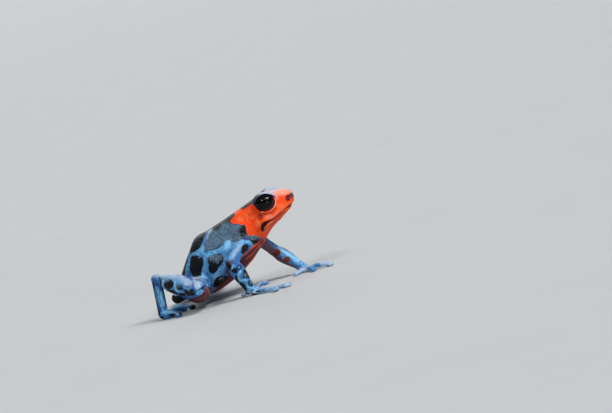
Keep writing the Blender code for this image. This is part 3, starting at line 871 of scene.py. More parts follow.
def ellipsoid_distance(x, y, z, centre, radii, axes=None):
    """Near enough distances to an ellipsoid, whose own axes are rows."""
    axes = np.identity(3) if axes is None else axes
    local = [plane_distance(x, y, z, centre, axis) for axis in axes]
    scaled = np.sqrt(sum((value / radius) ** 2 for value, radius in zip(local, radii)))
    slope = np.sqrt(sum((value / radius**2) ** 2 for value, radius in zip(local, radii)))
    return scaled * (scaled - 1) / np.maximum(slope, 1e-6)


def plane_distance(x, y, z, centre, way):
    """How far points are past centre, along way."""
    return way[0] * (x - centre[0]) + way[1] * (y - centre[1]) + way[2] * (z - centre[2])


def smooth_min(first, second, blend):
    bridge = np.maximum(blend - np.abs(first - second), 0) / blend
    return np.minimum(first, second) - bridge**2 * blend / 4


def smooth_max(first, second, blend):
    return -smooth_min(-first, -second, blend)


class Field:
    """Signed distances to the skin on a grid."""

    def __init__(self):
        self.shape = tuple(np.ceil((FIELD_HIGH - FIELD_LOW) / VOXEL).astype(int))
        self.values = np.full(self.shape, FAR_DISTANCE, np.float32)

    def block(self, form, margin):
        """The part of the grid round a form, with the form's distances there."""
        low, high = form.box(margin + 2 * VOXEL)
        first = np.maximum(np.floor((low - FIELD_LOW) / VOXEL).astype(int), 0)
        last = np.minimum(np.ceil((high - FIELD_LOW) / VOXEL).astype(int) + 1, self.shape)
        region = tuple(slice(a, b) for a, b in zip(first, last))
        lines = [FIELD_LOW[k] + VOXEL * np.arange(first[k], last[k]) for k in range(3)]
        grid = np.meshgrid(*(line.astype(np.float32) for line in lines), indexing="ij", sparse=True)
        return region, form.distance(*grid).astype(np.float32)

    def join(self, form, blend):
        region, distance = self.block(form, blend)
        self.values[region] = smooth_min(self.values[region], distance, blend)

    def carve(self, form, blend):
        region, distance = self.block(form, blend)
        self.values[region] = smooth_max(self.values[region], -distance, blend)

    def flatten(self):
        """Ends the skin at the floor."""
        height = (FIELD_LOW[2] + VOXEL * np.arange(self.shape[2])).astype(np.float32)
        self.values = np.maximum(self.values, -height[None, None, :])

    def surface(self):
        """The zero surface's vertices, in millimetres, and its four-sided faces."""
        band = 3 * VOXEL
        grid = openvdb.FloatGrid(band)
        grid.copyFromArray(np.clip(self.values, -band, band), tolerance=0.0)
        points, quads = grid.convertToQuads(0.0)
        return points.astype(float) * VOXEL + FIELD_LOW, quads


class Chain:
    def __init__(self, name, points, radii):
        self.name = name
        self.points = np.array(points, float)
        self.radii = np.array(radii, float)

    def box(self, margin):
        reach = self.radii.max() + margin
        return self.points.min(0) - reach, self.points.max(0) + reach

    def distance(self, x, y, z):
        return chain_distance(x, y, z, self.points, self.radii)


class Ellipsoid:
    def __init__(self, name, centre, radii, axes=None):
        self.name, self.centre, self.radii, self.axes = name, np.array(centre, float), radii, axes

    def box(self, margin):
        reach = max(self.radii) + margin
        return self.centre - reach, self.centre + reach

    def distance(self, x, y, z):
        return ellipsoid_distance(x, y, z, self.centre, self.radii, self.axes)


class LidCup:
    """The skin over an eye: a cup that ends past a plane square to its look, but not over the eye."""

    def __init__(self, side):
        self.centre = on_side(EYE_CENTRE, side)
        self.ways = eye_ways(side)

    def box(self, margin):
        reach = max(EYE_RADII) + LID_THICKNESS + margin
        return self.centre - reach, self.centre + reach

    def outer(self, x, y, z):
        return ellipsoid_distance(x, y, z, self.centre, EYE_RADII + LID_THICKNESS, self.ways)

    def above_edge(self, x, y, z):
        """How far points are above the lid's edge."""
        front, crown = (plane_distance(x, y, z, self.centre, way) for way in self.ways[:2])
        arch = np.where(front > 0, LID_ARCH_FRONT, LID_ARCH_BEHIND)
        return crown - LID_EDGE + arch * front**2

    def distance(self, x, y, z):
        behind = plane_distance(x, y, z, self.centre, self.ways[2]) - LID_BEHIND
        opening = smooth_min(behind, -self.above_edge(x, y, z), LID_OPENING_BLEND)
        cup = smooth_max(self.outer(x, y, z), opening, LID_EDGE_BLEND)
        past_top = plane_distance(x, y, z, self.centre, (0, 0, 1)) - LID_TOP
        return smooth_max(cup, past_top, LID_TOP_BLEND)


class LidRim:
    """A thin roll of skin where an eye comes out of the head."""

    def __init__(self, side):
        self.centre = on_side(EYE_CENTRE, side)
        self.ways = eye_ways(side)
        share = math.sqrt(1 - (RIM_OFFSET / EYE_RADII[2]) ** 2)
        self.half_sizes = EYE_RADII[:2] * share + RIM_THICKNESS * 0.6

    def box(self, margin):
        reach = max(EYE_RADII) + RIM_THICKNESS + margin
        return self.centre - reach, self.centre + reach

    def distance(self, x, y, z):
        front, crown, out = (plane_distance(x, y, z, self.centre, way) for way in self.ways)
        across = np.hypot(front, crown * self.half_sizes[0] / self.half_sizes[1])
        return np.hypot(across - self.half_sizes[0], out - RIM_OFFSET) - RIM_THICKNESS


# The frog's forms


def on_side(point, side):
    return np.array((point[0], point[1] * side, point[2]))


def eye_ways(side):
    """The ways from an eye's middle to its front corner, its upper lid's middle and where it looks."""
    look = EYE_LOOK / np.linalg.norm(EYE_LOOK)
    up = np.array((0, 0, 1.0)) - look[2] * look
    up /= np.linalg.norm(up)
    forward = np.cross(look, up)
    cos, sin = math.cos(CROWN_LEAN), math.sin(CROWN_LEAN)
    ways = (forward * cos - up * sin, up * cos + forward * sin, look)
    return np.array([on_side(way, side) for way in ways])


def smooth_rows(rows, positions):
    """Catmull-Rom interpolation of rows of numbers at positions 0 to len(rows) - 1."""
    rows = np.array(rows, float)
    low = np.clip(positions.astype(int), 0, len(rows) - 2)
    share = (positions - low)[:, None]
    before, start, end, after = (rows[np.clip(low + k, 0, len(rows) - 1)] for k in (-1, 0, 1, 2))
    return 0.5 * (
        2 * start
        + (end - before) * share
        + (2 * before - 5 * start + 4 * end - after) * share**2
        + (3 * start - before - 3 * end + after) * share**3
    )


def signed_power(value, power):
    return np.sign(value) * np.abs(value) ** power


def trunk_mesh():
    rows = [(*top, *bottom, width, square, taper) for top, bottom, width, square, taper in TRUNK_STATIONS]
    rings = smooth_rows(rows, np.linspace(0, len(rows) - 1, TRUNK_RINGS))
    angle = math.tau * np.arange(TRUNK_SIDES) / TRUNK_SIDES
    points = []
    for top_x, top_z, bottom_x, bottom_z, width, square, taper in rings:
        across = signed_power(np.cos(angle), 2 / square)
        along = signed_power(np.sin(angle), 2 / square)
        x = (top_x + bottom_x) / 2 + (top_x - bottom_x) / 2 * along
        z = (top_z + bottom_z) / 2 + (top_z - bottom_z) / 2 * along
        points.append(np.stack((x, across * width * (1 - taper * along), z), axis=1))
    poles = [points[0].mean(0), points[-1].mean(0)]
    corner = np.arange(TRUNK_SIDES)
    after = (corner + 1) % TRUNK_SIDES
    quads = [
        np.stack((corner, after, after + TRUNK_SIDES, corner + TRUNK_SIDES), axis=1) + k * TRUNK_SIDES
        for k in range(TRUNK_RINGS - 1)
    ]
    last = (TRUNK_RINGS - 1) * TRUNK_SIDES
    pole = np.full(TRUNK_SIDES, TRUNK_RINGS * TRUNK_SIDES)
    triangles = [
        np.stack((after, corner, pole), axis=1),
        np.stack((corner + last, after + last, pole + 1), axis=1),
    ]
    return np.concatenate(points + [np.array(poles)]), np.concatenate(quads), np.concatenate(triangles)


def trunk_distances(shape):
    points, quads, triangles = trunk_mesh()
    grid = openvdb.FloatGrid.createLevelSetFromPolygons(
        (points - FIELD_LOW).astype(np.float32),
        triangles=triangles.astype(np.uint32),
        quads=quads.astype(np.uint32),
        transform=openvdb.createLinearTransform(voxelSize=VOXEL),
        halfWidth=TRUNK_BAND,
    )
    values = np.empty(shape, np.float32)
    grid.copyToArray(values)
    return values


def limb(name, start, end, swell, peak):
    """A length of a limb between two joints, fuller by swell at its peak, a share of its length."""
    (start_point, start_radius), (end_point, end_radius) = start, end
    share = np.linspace(0, 1, 12)
    rise = np.where(share < peak, share / peak, (1 - share) / (1 - peak))
    points = np.array(start_point) + np.outer(share, np.array(end_point) - np.array(start_point))
    radii = start_radius + (end_radius - start_radius) * share + swell * np.sin(rise * math.pi / 2) ** 2
    return Chain(name, points, radii)


def turned(heading):
    return np.array(
        ((math.cos(heading), math.sin(heading), 0), (-math.sin(heading), math.cos(heading), 0), (0, 0, 1))
    )


def digit_forms(name, root, pad_place, arch, pad_size):
    """A finger or toe from its root to a wide pad, arched between them, with a swelling at its joint."""
    tip = np.array(pad_place)
    reach = tip - root
    end = tip - reach / np.linalg.norm(reach) * PAD_HALF_LENGTH * pad_size * 0.4
    share = np.linspace(0, 1, 9)
    points = root + np.outer(share, end - root)
    points[:, 2] += max(arch - max(root[2], tip[2]), 0) * np.sin(math.pi * share)
    place, length, swell = KNUCKLE
    knuckle = swell * bell(share - place, length)
    radii = DIGIT_RADIUS * (DIGIT_TAPER[0] - DIGIT_TAPER[1] * share + knuckle)
    heading = math.atan2(reach[1], reach[0])
    size = (PAD_HALF_LENGTH * pad_size, PAD_HALF_WIDTH * pad_size, PAD_HALF_HEIGHT)
    return [Chain(name, points, radii), Ellipsoid(name, tip, size, turned(heading))]


def extremity_forms(name, joint, plan):
    (joint_point, joint_radius), ((middle, half_width, half_height), digits) = joint, plan
    root = np.array((*middle, half_height * 0.85))
    joint_point = np.array(joint_point)
    made = [Chain(name, (joint_point, root), (joint_radius * 0.95, half_height))]
    toward = root - joint_point
    heading = math.atan2(toward[1], toward[0])
    made.append(Ellipsoid(name, root, (half_width * 1.05, half_width, half_height), turned(heading)))
    for pad_place, arch, pad_size in digits:
        made += digit_forms(name, root, pad_place, arch, pad_size)
    return made


def limb_forms():
    """Each form with how softly it joins what is there before it."""
    made = []
    for side in (LEFT, RIGHT):
        plans = (
            ("arm", ARM_JOINTS[side], ARM_SWELLS, ARM_BLENDS, HANDS[side]),
            ("leg", LEG_JOINTS[side], LEG_SWELLS, LEG_BLENDS, FEET[side]),
        )
        for kind, joints, swells, blends, end in plans:
            name = f"{kind}_{SIDE_NAMES[side]}"
            for start, stop, (swell, peak), blend in zip(joints, joints[1:], swells, blends):
                made.append((limb(name, start, stop, swell, peak), blend))
            made += [(form, DIGIT_BLEND) for form in extremity_forms(name, joints[-1], end)]
    return made


def grow_skin():
    field = Field()
    field.values = np.minimum(field.values, trunk_distances(field.shape))
    for side in (LEFT, RIGHT):
        centre, radii = SHOULDER_BLADE
        field.join(Ellipsoid("trunk", on_side(centre, side), radii), SHOULDER_BLEND)
    for form, blend in limb_forms():
        field.join(form, blend)
    for side in (LEFT, RIGHT):
        field.join(LidCup(side), LID_BLEND)
        field.join(LidRim(side), RIM_BLEND)
        socket = Ellipsoid("socket", on_side(EYE_CENTRE, side), EYE_RADII - SOCKET_DEPTH, eye_ways(side))
        field.carve(socket, SOCKET_BLEND)
    field.flatten()
    points, quads = field.surface()
    mesh = bpy.data.meshes.new("skin")
    mesh.vertices.add(len(points))
    mesh.vertices.foreach_set("co", points.ravel())
    mesh.loops.add(quads.size)
    mesh.loops.foreach_set("vertex_index", quads.ravel().astype(np.int32))
    mesh.polygons.add(len(quads))
    mesh.polygons.foreach_set("loop_start", np.arange(0, quads.size, 4, dtype=np.int32))
    mesh.update(calc_edges=True)
    mesh.validate()
    skin = bpy.data.objects.new("skin", mesh)
    bpy.context.scene.collection.objects.link(skin)
    return skin


def part_of(points):
    """Which part of the frog each point belongs to: the nearest limb, or the trunk."""
    names = np.full(len(points), "trunk", dtype="<U9")
    closest = np.full(len(points), LIMB_REACH)
    for form, _ in limb_forms():
        low, high = form.box(LIMB_REACH)
        near = ((points > low) & (points < high)).all(axis=1)
        found = form.distance(*points[near].T)
        better = found < closest[near]
        chosen = np.flatnonzero(near)[better]
        closest[chosen] = found[better]
        names[chosen] = form.name
    return names


# Sculpting


def vertices_of(mesh):
    found = np.empty(len(mesh.vertices) * 3, np.float32)
    mesh.vertices.foreach_get("co", found)
    return found.reshape(-1, 3).astype(float)


def normals_of(mesh):
    found = np.empty(len(mesh.vertices) * 3, np.float32)
    mesh.vertex_normals.foreach_get("vector", found)
    return found.reshape(-1, 3).astype(float)


def set_vertices(mesh, points):
    mesh.vertices.foreach_set("co", points.ravel())
    mesh.update()


def put(mesh, name, values):
    made = mesh.attributes.new(name, "FLOAT", "POINT")
    made.data.foreach_set("value", np.clip(values, -FAR_MARK, FAR_MARK).astype(np.float32))


def path_distance(points, path):
    """Distances from points to a line through path, and how far along it, from 0 to 1, is nearest."""
    path = np.array(path, float)
    lengths = np.linalg.norm(np.diff(path, axis=0), axis=1)
    best, place = np.full(len(points), np.inf), np.zeros(len(points))
    covered = 0.0
    for start, end, length in zip(path, path[1:], lengths):
        along = end - start
        share = np.clip((points - start) @ along / length**2, 0, 1)
        gap = np.linalg.norm(points - start - share[:, None] * along, axis=1)
        closer = gap < best
        best = np.where(closer, gap, best)
        place = np.where(closer, (covered + share * length) / lengths.sum(), place)
        covered += length
    return best, place


def bell(distance, width):
    return np.exp(-((distance / width) ** 2))


def mouth_of(points):
    """Distances to the mouth line, its half width and depth there, and whether points lie above it."""
    side_view = points[:, (0, 2)]
    line = smooth_rows(MOUTH_LINE, np.linspace(0, len(MOUTH_LINE) - 1, 40))
    gap, share = path_distance(side_view, line)
    gap = np.where(points[:, 0] > MOUTH_END, gap, FAR_MARK)
    half_width = np.interp(share, MOUTH_SHARES, MOUTH_HALF_WIDTHS)
    depth = np.interp(share, MOUTH_SHARES, MOUTH_DEPTHS)
    above = side_view[:, 1] > np.interp(side_view[:, 0], line[::-1, 0], line[::-1, 1])
    return gap, half_width, depth, above


def near_side_pixels(points):
    """Pixels of points, where the far side's points take their mirror images' pixels."""
    nearest = points.copy()
    nearest[:, 1] = -np.abs(nearest[:, 1])
    return photo_pixels(nearest)


def sculpt(mesh, trunk):
    points, normals = vertices_of(mesh), normals_of(mesh)
    side_view = points[:, (0, 2)]
    gap, half_width, depth, above = mouth_of(points)
    amount = -depth * bell(gap, np.maximum(half_width, MOUTH_LEAST_WIDTH))
    amount += np.where(above, *LIP_HEIGHTS) * bell(gap - half_width - LIP_PLACE, LIP_WIDTH)
    pixels = near_side_pixels(points)
    crease, _ = path_distance(pixels, UNDER_EYE)
    amount += EYE_CREASE[0] * bell(crease / PIXELS_PER_MM, EYE_CREASE[1]) * trunk
    for path in CHEST_FOLDS:
        fold, _ = path_distance(pixels, path)
        amount += CHEST_FOLD[0] * bell(fold / PIXELS_PER_MM, CHEST_FOLD[1]) * trunk
    for side in (LEFT, RIGHT):
        near = points[:, 1] * side > 0.2
        for place, radius, height in DENTS:
            reach = np.linalg.norm(points - on_side(place, side), axis=1)
            amount += height * bell(reach, radius) * near
        drum = np.linalg.norm(side_view - np.array(EARDRUM_PLACE), axis=1)
        amount += EARDRUM_GROOVE[0] * bell(drum - EARDRUM_RADIUS, EARDRUM_GROOVE[1]) * near
        pit = np.linalg.norm(side_view - np.array(NOSTRIL_PLACE), axis=1)
        ring = NOSTRIL_RING[0] * bell(pit - NOSTRIL_RING_RADIUS, NOSTRIL_RING[1])
        amount += (NOSTRIL_PIT[0] * bell(pit, NOSTRIL_PIT[1]) + ring) * near
    points += normals * amount[:, None]
    granules = 1 - np.clip(cell_noise(points, GRANULE_SIZE) / 0.75, 0, 1) ** 2
    points += normals * (granules * granule_strength(points))[:, None]
    points[:, 2] = np.maximum(points[:, 2], 0.0)
    set_vertices(mesh, points)
    put(mesh, "granule", granules)
    put(mesh, "top", normals[:, 2])


def cell_noise(points, size):
    """How far each point is from the nearest of one random point in each cell, as a share of the cell."""
    scaled = points / size
    cell = np.floor(scaled).astype(np.int64)
    nearest = np.full(len(points), 9.0)
    for dx in (-1, 0, 1):
        for dy in (-1, 0, 1):
            for dz in (-1, 0, 1):
                other = cell + np.array((dx, dy, dz))
                mixed = other[:, 0] * 73856093 ^ other[:, 1] * 19349663 ^ other[:, 2] * 83492791
                place = []
                for salt in (1, 2, 3):
                    value = (mixed * (2654435761 + salt * 40503)) & 0xFFFFFFFF
                    value = (value ^ (value >> 15)) * 2246822519 & 0xFFFFFFFF
                    place.append(((value ^ (value >> 13)) & 0xFFFF) / 65535)
                gap = np.linalg.norm(other + np.stack(place, axis=1) - scaled, axis=1)
                nearest = np.minimum(nearest, gap)
    return nearest


def granule_strength(points):
    """Granules stand highest on the back and flanks, and lie low on the head and digits."""
    back = np.clip((7.6 - points[:, 0]) / 2.5, 0, 1) * np.clip((points[:, 2] - 0.8) / 1.0, 0, 1)
    trunk = np.clip((3.4 - np.abs(points[:, 1])) / 0.5, 0, 1)
    return GRANULE_LEAST + GRANULE_RISE * back * trunk


# Markings


def mark(mesh, part):
    points, normals = vertices_of(mesh), normals_of(mesh)
    trunk = part == "trunk"
    pixels = np.where(trunk[:, None], near_side_pixels(points), photo_pixels(points))
    mirrored = np.where(trunk, -np.abs(points[:, 1]), points[:, 1])
    stray = drift(np.stack((points[:, 0], mirrored, points[:, 2]), axis=1)) * PIXELS_PER_MM
    shown = normals @ view_axes()[2] - FACING_LEAST
    behind_shank = (part == "leg_right") & (points[:, 2] > FOOT_TOP)
    past_shank = SHANK_FADE * (SHANK_BACK - points[:, 1])
    shown = np.where(behind_shank, np.minimum(shown, past_shank), shown)
    far_flank = trunk & (points[:, 1] > 0)
    for name in dict.fromkeys(name for name, _ in MARKS):
        drawn = pixels if name in FACE_MARKS else pixels + stray
        found = np.full(len(points), FAR_MARK)
        for (layer, key), shapes in MARKS.items():
            if layer == name:
                chosen = part == key
                found[chosen] = shapes_distance(drawn[chosen], shapes)
        found = np.where(trunk, found, found + np.maximum(-shown, 0) * HIDDEN_FADE)
        if name in ("maroon", "red_fold"):
            past_chest = np.maximum(CHEST_EDGE_PIXEL - pixels[:, 0], 0) * CHEST_FADE
            found += np.where(far_flank, past_chest, 0)
        if name == "black":
            for key in SPOT_SEED:
                chosen = part == key
                spots = spots_distance(points[chosen], key)
                spots = spots + np.maximum(shown[chosen], 0) * SHOWN_FADE
                found[chosen] = np.minimum(found[chosen], spots)
        put(mesh, name, found)
    gap, half_width, _, _ = mouth_of(points)
    put(mesh, "mouth", gap - half_width)
    lid, crest, line, rim = lid_distances(points)
    put(mesh, "lid", lid)
    # The lids' painted sheen, only where the skin faces up.
    put(mesh, "crest", np.maximum(crest, SHEEN_LEVEL - normals[:, 2]))
    put(mesh, "lid_line", line)
    put(mesh, "rim", np.where(trunk, rim, FAR_MARK))
    put(mesh, "limb", np.where(trunk, 0.0, 1.0))
    arm = np.char.startswith(part, "arm")
    put(mesh, "hand", np.where(arm, points[:, 2] - HAND_TOP, FAR_MARK))


def lid_distances(points):
    """Distances to the upper lids, their painted sheen, their painted edge shadows, and the rims below them.
    """
    lid, crest, line, rim = (np.full(len(points), FAR_MARK) for _ in range(4))
    for side in (LEFT, RIGHT):
        cup = LidCup(side)
        front, height, _ = cup.ways @ (points - cup.centre).T
        above = cup.above_edge(*points.T)
        over = np.maximum(cup.outer(*points.T) - LID_PAINT_REACH, -LID_PAINT_BELOW - above)
        over = np.maximum(over, -LID_PAINT_LOW - height)
        lid = np.minimum(lid, over)
        crest = np.minimum(crest, np.maximum(over, -SHEEN_BACK - front))
        # A painted shadow along the lid's edge, towards the front.
        low_edge = np.maximum(over, above - LID_SHADOW_WIDTH)
        line = np.minimum(line, np.maximum(low_edge, -LID_SHADOW_BACK - front))
        edge = LidRim(side).distance(*points.T)
        roll = np.maximum(edge - RIM_PAINT_REACH, height - RIM_PAINT_TOP)
        rim = np.minimum(rim, np.maximum(roll, -RIM_PAINT_BACK - front))
    return lid, crest, line, rim


def drift(points):
    """Shifts that vary smoothly over the skin, so that drawn edges are irregular."""
    random = np.random.default_rng(DRIFT_SEED)
    total = np.zeros((len(points), 2))
    for _ in range(DRIFT_WAVES):
        way = random.normal(size=3)
        way *= math.tau / DRIFT_SIZE * random.uniform(0.6, 1.5) / np.linalg.norm(way)
        phases = random.uniform(0, math.tau, 2)
        total += np.sin((points @ way)[:, None] + phases)
    return total * DRIFT_AMOUNT / math.sqrt(DRIFT_WAVES)


def shapes_distance(pixels, shapes):
    """Signed distances, in millimetres, from pixels to the nearest of some shapes, negative inside."""
    best = np.full(len(pixels), FAR_MARK * PIXELS_PER_MM)
    measures = {"oval": oval_distance, "stroke": stroke_distance, "outline": outline_distance}
    for kind, *values in shapes:
        low, high = shape_box(kind, *values)
        near = ((pixels > low - MARK_REACH_PIXELS) & (pixels < high + MARK_REACH_PIXELS)).all(axis=1)
        best[near] = np.minimum(best[near], measures[kind](pixels[near], *values))
    return best / PIXELS_PER_MM


def shape_box(kind, *values):
    if kind == "oval":
        centre, half_size = np.array(values[0], float), max(values[1])
        return centre - half_size, centre + half_size
    path = np.array(values[-1], float)
    return path.min(0), path.max(0)


def oval_distance(pixels, centre, half_size, turn):
    angle = math.radians(turn)
    local = pixels - np.array(centre)
    u = local[:, 0] * math.cos(angle) + local[:, 1] * math.sin(angle)
    v = -local[:, 0] * math.sin(angle) + local[:, 1] * math.cos(angle)
    scaled = np.hypot(u / half_size[0], v / half_size[1])
    slope = np.hypot(u / half_size[0] ** 2, v / half_size[1] ** 2)
    return scaled * (scaled - 1) / np.maximum(slope, 1e-6)


def stroke_distance(pixels, half_width, path):
    if len(path) > 2:
        path = smooth_rows(path, np.linspace(0, len(path) - 1, 3 * len(path) - 2))
    return path_distance(pixels, path)[0] - half_width


def outline_distance(pixels, corners):
    """Distances to the rounded outline through corners."""
    count = len(corners)
    wrapped = (*corners[-2:], *corners, *corners[:2])
    corners = smooth_rows(wrapped, np.linspace(2, count + 2, 2 * count, endpoint=False))
    best, _ = path_distance(pixels, np.concatenate((corners, corners[:1])))
    inside = np.zeros(len(pixels), bool)
    x, y = pixels.T
    for start, end in zip(corners, np.roll(corners, -1, axis=0)):
        if start[1] != end[1]:
            crosses = (start[1] > y) != (end[1] > y)
            inside ^= crosses & (x < start[0] + (y - start[1]) * (end[0] - start[0]) / (end[1] - start[1]))
    return np.where(inside, -best, best)


def spots_distance(points, name):
    """Distances to black spots strewn evenly over a limb, negative inside."""
    random = np.random.default_rng(SPOT_SEED[name])
    centres = []
    for k in random.permutation(len(points))[:SPOT_TRIES]:
        if all(np.linalg.norm(points[k] - other) > SPOT_SPACING for other in centres):
            centres.append(points[k])
    moved = points.copy()
    moved[:, :2] += SPOT_DRIFT * drift(points)
    best = np.full(len(points), FAR_MARK)
    for centre in centres:
        best = np.minimum(best, np.linalg.norm(moved - centre, axis=1) - random.uniform(*SPOT_RADII))
    return best


# Finishes


class Nodes:
    """A tree's nodes, made by name and linked as they are made."""

    def __init__(self, tree):
        self.tree = tree

    def node(self, kind, inputs=None, **settings):
        made = self.tree.nodes.new(kind)
        for key, value in settings.items():
            setattr(made, key, value)
        for key, value in (inputs or {}).items():
            self.feed(made.inputs[key], value)
        return made

    def feed(self, socket, value):
        if isinstance(value, bpy.types.NodeSocket):
            self.tree.links.new(value, socket)
        else:
            socket.default_value = value

    def maths(self, operation, *values):
        made = self.node("ShaderNodeMath", operation=operation)
        for socket, value in zip(made.inputs, values):
            self.feed(socket, value)
        return made.outputs[0]

    def ramp(self, value, low, high, bottom=0.0, top=1.0):
        """Goes smoothly from bottom to top as value goes from low to high."""
        inputs = {"Value": value, "From Min": low, "From Max": high, "To Min": bottom, "To Max": top}
        return self.node("ShaderNodeMapRange", inputs, interpolation_type="SMOOTHSTEP").outputs[0]


class Shading(Nodes):
    """A material and its nodes."""

    def __init__(self, name):
        self.material = bpy.data.materials.new(name)
        self.material.use_nodes = True
        super().__init__(self.material.node_tree)
        self.shader = self.tree.nodes["Principled BSDF"]

    def finish(self, inputs):
        for key, value in inputs.items():
            self.feed(self.shader.inputs[key], value)

    def attribute(self, name):
        return self.node("ShaderNodeAttribute", attribute_name=name).outputs["Fac"]

    def noise(self, scale, detail=3.0, roughness=0.55, offset=0.0):
        where = self.node("ShaderNodeTexCoord").outputs["Object"]
        moved = self.node("ShaderNodeMapping", {"Vector": where, "Location": (offset, 0, 0)})
        made = self.node(
            "ShaderNodeTexNoise",
            {"Vector": moved.outputs[0], "Scale": scale, "Detail": detail, "Roughness": roughness},
        )
        return made.outputs["Fac"]

    def step(self, value, edge, softness):
        """0 below the edge and 1 above it."""
        return self.ramp(value, edge - softness, edge + softness)

    def mix(self, share, first, second):
        made = self.node("ShaderNodeMix", data_type="RGBA")
        for number, value in ((0, share), (6, first), (7, second)):
            self.feed(made.inputs[number], value)
        return made.outputs[2]

    def within(self, name, wobble, amount, softness):
        """1 inside a marking and 0 outside it, with an edge that wobbles by amount."""
        shift = self.maths("MULTIPLY", self.maths("SUBTRACT", wobble, 0.5), amount * 2)
        moved = self.maths("ADD", self.attribute(name), shift)
        return self.maths("SUBTRACT", 1.0, self.step(moved, 0.0, softness))


def dress(skin, origin):
    paint = Shading("frog_skin")
    broad = paint.noise(BROAD_NOISE, 3.0, 0.6)
    fine = paint.noise(FINE_NOISE, 3.0, 0.6, 0.31)
    blotch = paint.noise(BLOTCH_NOISE, 2.0, 0.5, 0.77)
    granule, top = paint.attribute("granule"), paint.attribute("top")
    # Granule tops paler than the hollows between them: painted light and shade on the granules.
    grain = paint.step(paint.maths("ADD", granule, paint.maths("MULTIPLY", fine, 0.5)), *GRAIN_STEP)
    blue = paint.mix(paint.step(blotch, *BLUE_STEP), AZURE, SKY_BLUE)
    limb_blue = paint.mix(paint.step(broad, *LIMB_STEP), LIMB_DEEP, LIMB_BLUE)
    # Limb tops that face up turn periwinkle: a painted sheen.
    lit = paint.step(paint.maths("ADD", top, paint.maths("MULTIPLY", blotch, 0.6)), *LIT_STEP)
    limb_blue = paint.mix(lit, limb_blue, PERIWINKLE_SHEEN)
    finger = paint.mix(paint.step(blotch, *FINGER_STEP), LIMB_BLUE, FINGER_BLUE)
    limb_blue = paint.mix(paint.within("hand", broad, 0.3, 0.3), limb_blue, finger)
    blue = paint.mix(paint.attribute("limb"), blue, limb_blue)
    # Grains on black skin turn pale only where it faces up: painted glints.
    black_glint = paint.maths("MULTIPLY", grain, paint.step(top, *BLACK_GLINT_STEP))
    black = paint.mix(black_glint, BLACK, BLACK_GLINT)
    slate = paint.mix(grain, SLATE_LOW, SLATE_HIGH)
    black = paint.mix(paint.within("slate", broad, 0.25, 0.25), black, slate)
    # Pale specks on the granules within those marks: painted glints.
    speck = paint.step(paint.maths("ADD", granule, paint.maths("MULTIPLY", fine, 0.7)), *SPECK_STEP)
    frost = paint.maths("MULTIPLY", paint.within("frost", broad, 0.2, 0.2), speck)
    black = paint.mix(frost, black, GLINT_GREY)
    body = paint.mix(paint.within("black", fine, 0.10, 0.05), blue, black)
    warm = paint.mix(paint.step(broad, *WARM_STEP), ORANGE_RED, ORANGE_LIGHT)
    vein = paint.mix(paint.step(paint.maths("ADD", granule, fine), *VEIN_STEP), VEIN_BLUE, SKY_BLUE)
    # The painted sheen, grained.
    bone = paint.mix(grain, PERIWINKLE_SHEEN, PAINTED_SHEEN_GREY)
    tones = {"pale": vein, "orange": warm, "bone": bone}
    for name, colour, softness, wobble in LAYERS:
        body = paint.mix(paint.within(name, fine, wobble, softness), body, tones.get(name, colour))
    under = paint.maths("SUBTRACT", 1.0, paint.step(top, *UNDER_STEP))
    roughness = paint.maths("ADD", paint.maths("MULTIPLY", fine, 0.25), SKIN_ROUGHNESS)
    roughness = paint.maths("ADD", paint.maths("MULTIPLY", under, 0.25), roughness)
    where = paint.node("ShaderNodeTexCoord").outputs["Object"]
    cells = paint.node("ShaderNodeTexVoronoi", {"Vector": where, "Scale": BUMP_CELLS}, feature="SMOOTH_F1")
    bumps = paint.maths("SUBTRACT", 1.0, cells.outputs["Distance"])
    bump = paint.node("ShaderNodeBump", {"Height": bumps, "Distance": BUMP_HEIGHT, "Strength": BUMP_STRENGTH})
    paint.finish({
        "Base Color": body,
        "Roughness": roughness,
        "Specular IOR Level": SKIN_SPECULAR,
        "Coat Weight": SKIN_COAT,
        "Coat Roughness": SKIN_COAT_ROUGHNESS,
        "Normal": bump.outputs[0],
    })
    mesh = skin.data
    set_vertices(mesh, (vertices_of(mesh) + origin) * METRES_PER_MM)
    mesh.materials.append(paint.material)
    mesh.shade_smooth()
    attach(skin, "root")
    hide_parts(*FLESH_NODES)


def eye(side, origin):
    name = SIDE_NAMES[side]
    bpy.ops.mesh.primitive_uv_sphere_add(segments=96, ring_count=60, radius=1)
    made = bpy.context.active_object
    made.name = f"eyeball_{name}"
    ball = vertices_of(made.data)
    across = np.hypot(ball[:, 0], ball[:, 1])
    low_front = ball[:, 0] - ball[:, 1]
    # The iris ring, strongest low in front, where it carries a painted red reflection.
    put(made.data, "iris", np.abs(across - IRIS_SHARE) + 0.20 * np.maximum(0.55 - low_front, 0))
    shaped = (ball * EYE_RADII) @ eye_ways(side)
    set_vertices(made.data, (shaped + on_side(EYE_CENTRE, side) + origin) * METRES_PER_MM)
    if side == LEFT:
        made.data.flip_normals()
    made.data.shade_smooth()
    made.data.materials.append(eye_finish())
    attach(made, "root")
    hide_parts(f"eye_{name}")


def eye_finish():
    found = bpy.data.materials.get("frog_eye")
    if found:
        return found
    paint = Shading("frog_eye")
    fine = paint.noise(IRIS_NOISE, 2.0, 0.5)
    # The iris ring with its painted red reflection.
    colour = paint.mix(paint.within("iris", fine, 0.05, 0.08), PUPIL_BLACK, IRIS_REFLECTION_RED)
    paint.finish({
        "Base Color": colour,
        "Roughness": EYE_ROUGHNESS,
        "IOR": EYE_IOR,
        "Specular IOR Level": EYE_SPECULAR,
    })
    return paint.material


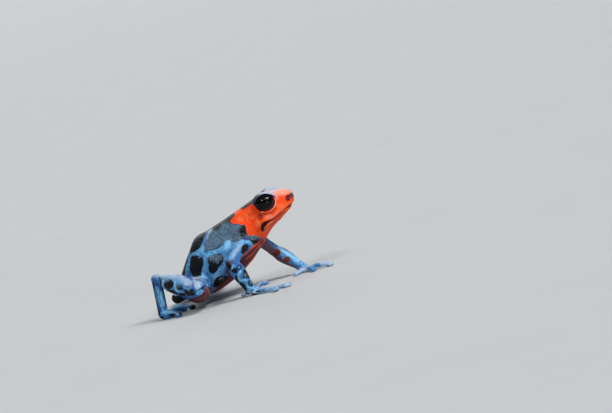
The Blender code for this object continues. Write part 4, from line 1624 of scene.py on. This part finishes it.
def stage():
    radii = np.linspace(0, FLOOR_RADIUS, FLOOR_RINGS + 1)[1:]
    rise = np.clip((radii - FLOOR_FLAT_RADIUS) / (FLOOR_RADIUS - FLOOR_FLAT_RADIUS), 0, 1)
    angle = math.tau * np.arange(FLOOR_SIDES) / FLOOR_SIDES
    points = [(0.0, 0.0, 0.0)]
    for radius, height in zip(radii, FLOOR_RIM_HEIGHT * rise**2):
        points += [(radius * math.cos(a), radius * math.sin(a), height) for a in angle]
    faces = [(0, 1 + k, 1 + (k + 1) % FLOOR_SIDES) for k in range(FLOOR_SIDES)]
    for ring in range(FLOOR_RINGS - 1):
        first = 1 + ring * FLOOR_SIDES
        for k in range(FLOOR_SIDES):
            after = (k + 1) % FLOOR_SIDES
            faces.append((first + k, first + FLOOR_SIDES + k, first + FLOOR_SIDES + after, first + after))
    mesh = bpy.data.meshes.new("floor")
    mesh.from_pydata(points, [], faces)
    mesh.shade_smooth()
    floor = bpy.data.objects.new("floor", mesh)
    bpy.context.scene.collection.objects.link(floor)
    paint = Shading("floor")
    tone = paint.mix(paint.noise(FLOOR_NOISE), *FLOOR_TONES)
    paint.finish({"Base Color": tone, "Roughness": FLOOR_ROUGHNESS, "Specular IOR Level": FLOOR_SPECULAR})
    mesh.materials.append(paint.material)


def studio_light():
    world = bpy.data.worlds.new("studio")
    world.use_nodes = True
    sky = Nodes(world.node_tree)
    background = sky.tree.nodes["Background"]
    background.inputs["Color"].default_value = LIGHT_COLOUR
    way = sky.node("ShaderNodeTexCoord").outputs["Generated"]

    def along(direction):
        dot = sky.node("ShaderNodeVectorMath", operation="DOT_PRODUCT")
        sky.feed(dot.inputs[0], way)
        sky.feed(dot.inputs[1], direction)
        return dot.outputs["Value"]

    total = sky.ramp(along((0, 0, 1)), 0.0, 1.0, DOME_LOW, DOME_HIGH)
    right, up, toward = view_axes()
    for way_from, half_width, half_height, strength in SOFTBOXES:
        middle = right * way_from[0] + up * way_from[1] + toward * way_from[2]
        middle /= np.linalg.norm(middle)
        across = np.cross(up, middle)
        across /= np.linalg.norm(across)
        lamp = sky.ramp(along(middle), 0.0, SOFTBOX_EDGE, 0.0, strength)
        for axis, half_size in ((across, half_width), (np.cross(middle, across), half_height)):
            aside = sky.maths("ABSOLUTE", along(axis))
            edge = sky.ramp(aside, half_size - SOFTBOX_EDGE, half_size + SOFTBOX_EDGE, 1.0, 0.0)
            lamp = sky.maths("MULTIPLY", lamp, edge)
        total = sky.maths("ADD", total, lamp)
    sky.feed(background.inputs["Strength"], total)
    bpy.context.scene.world = world
    bpy.context.scene.view_settings.view_transform = "Standard"


main()
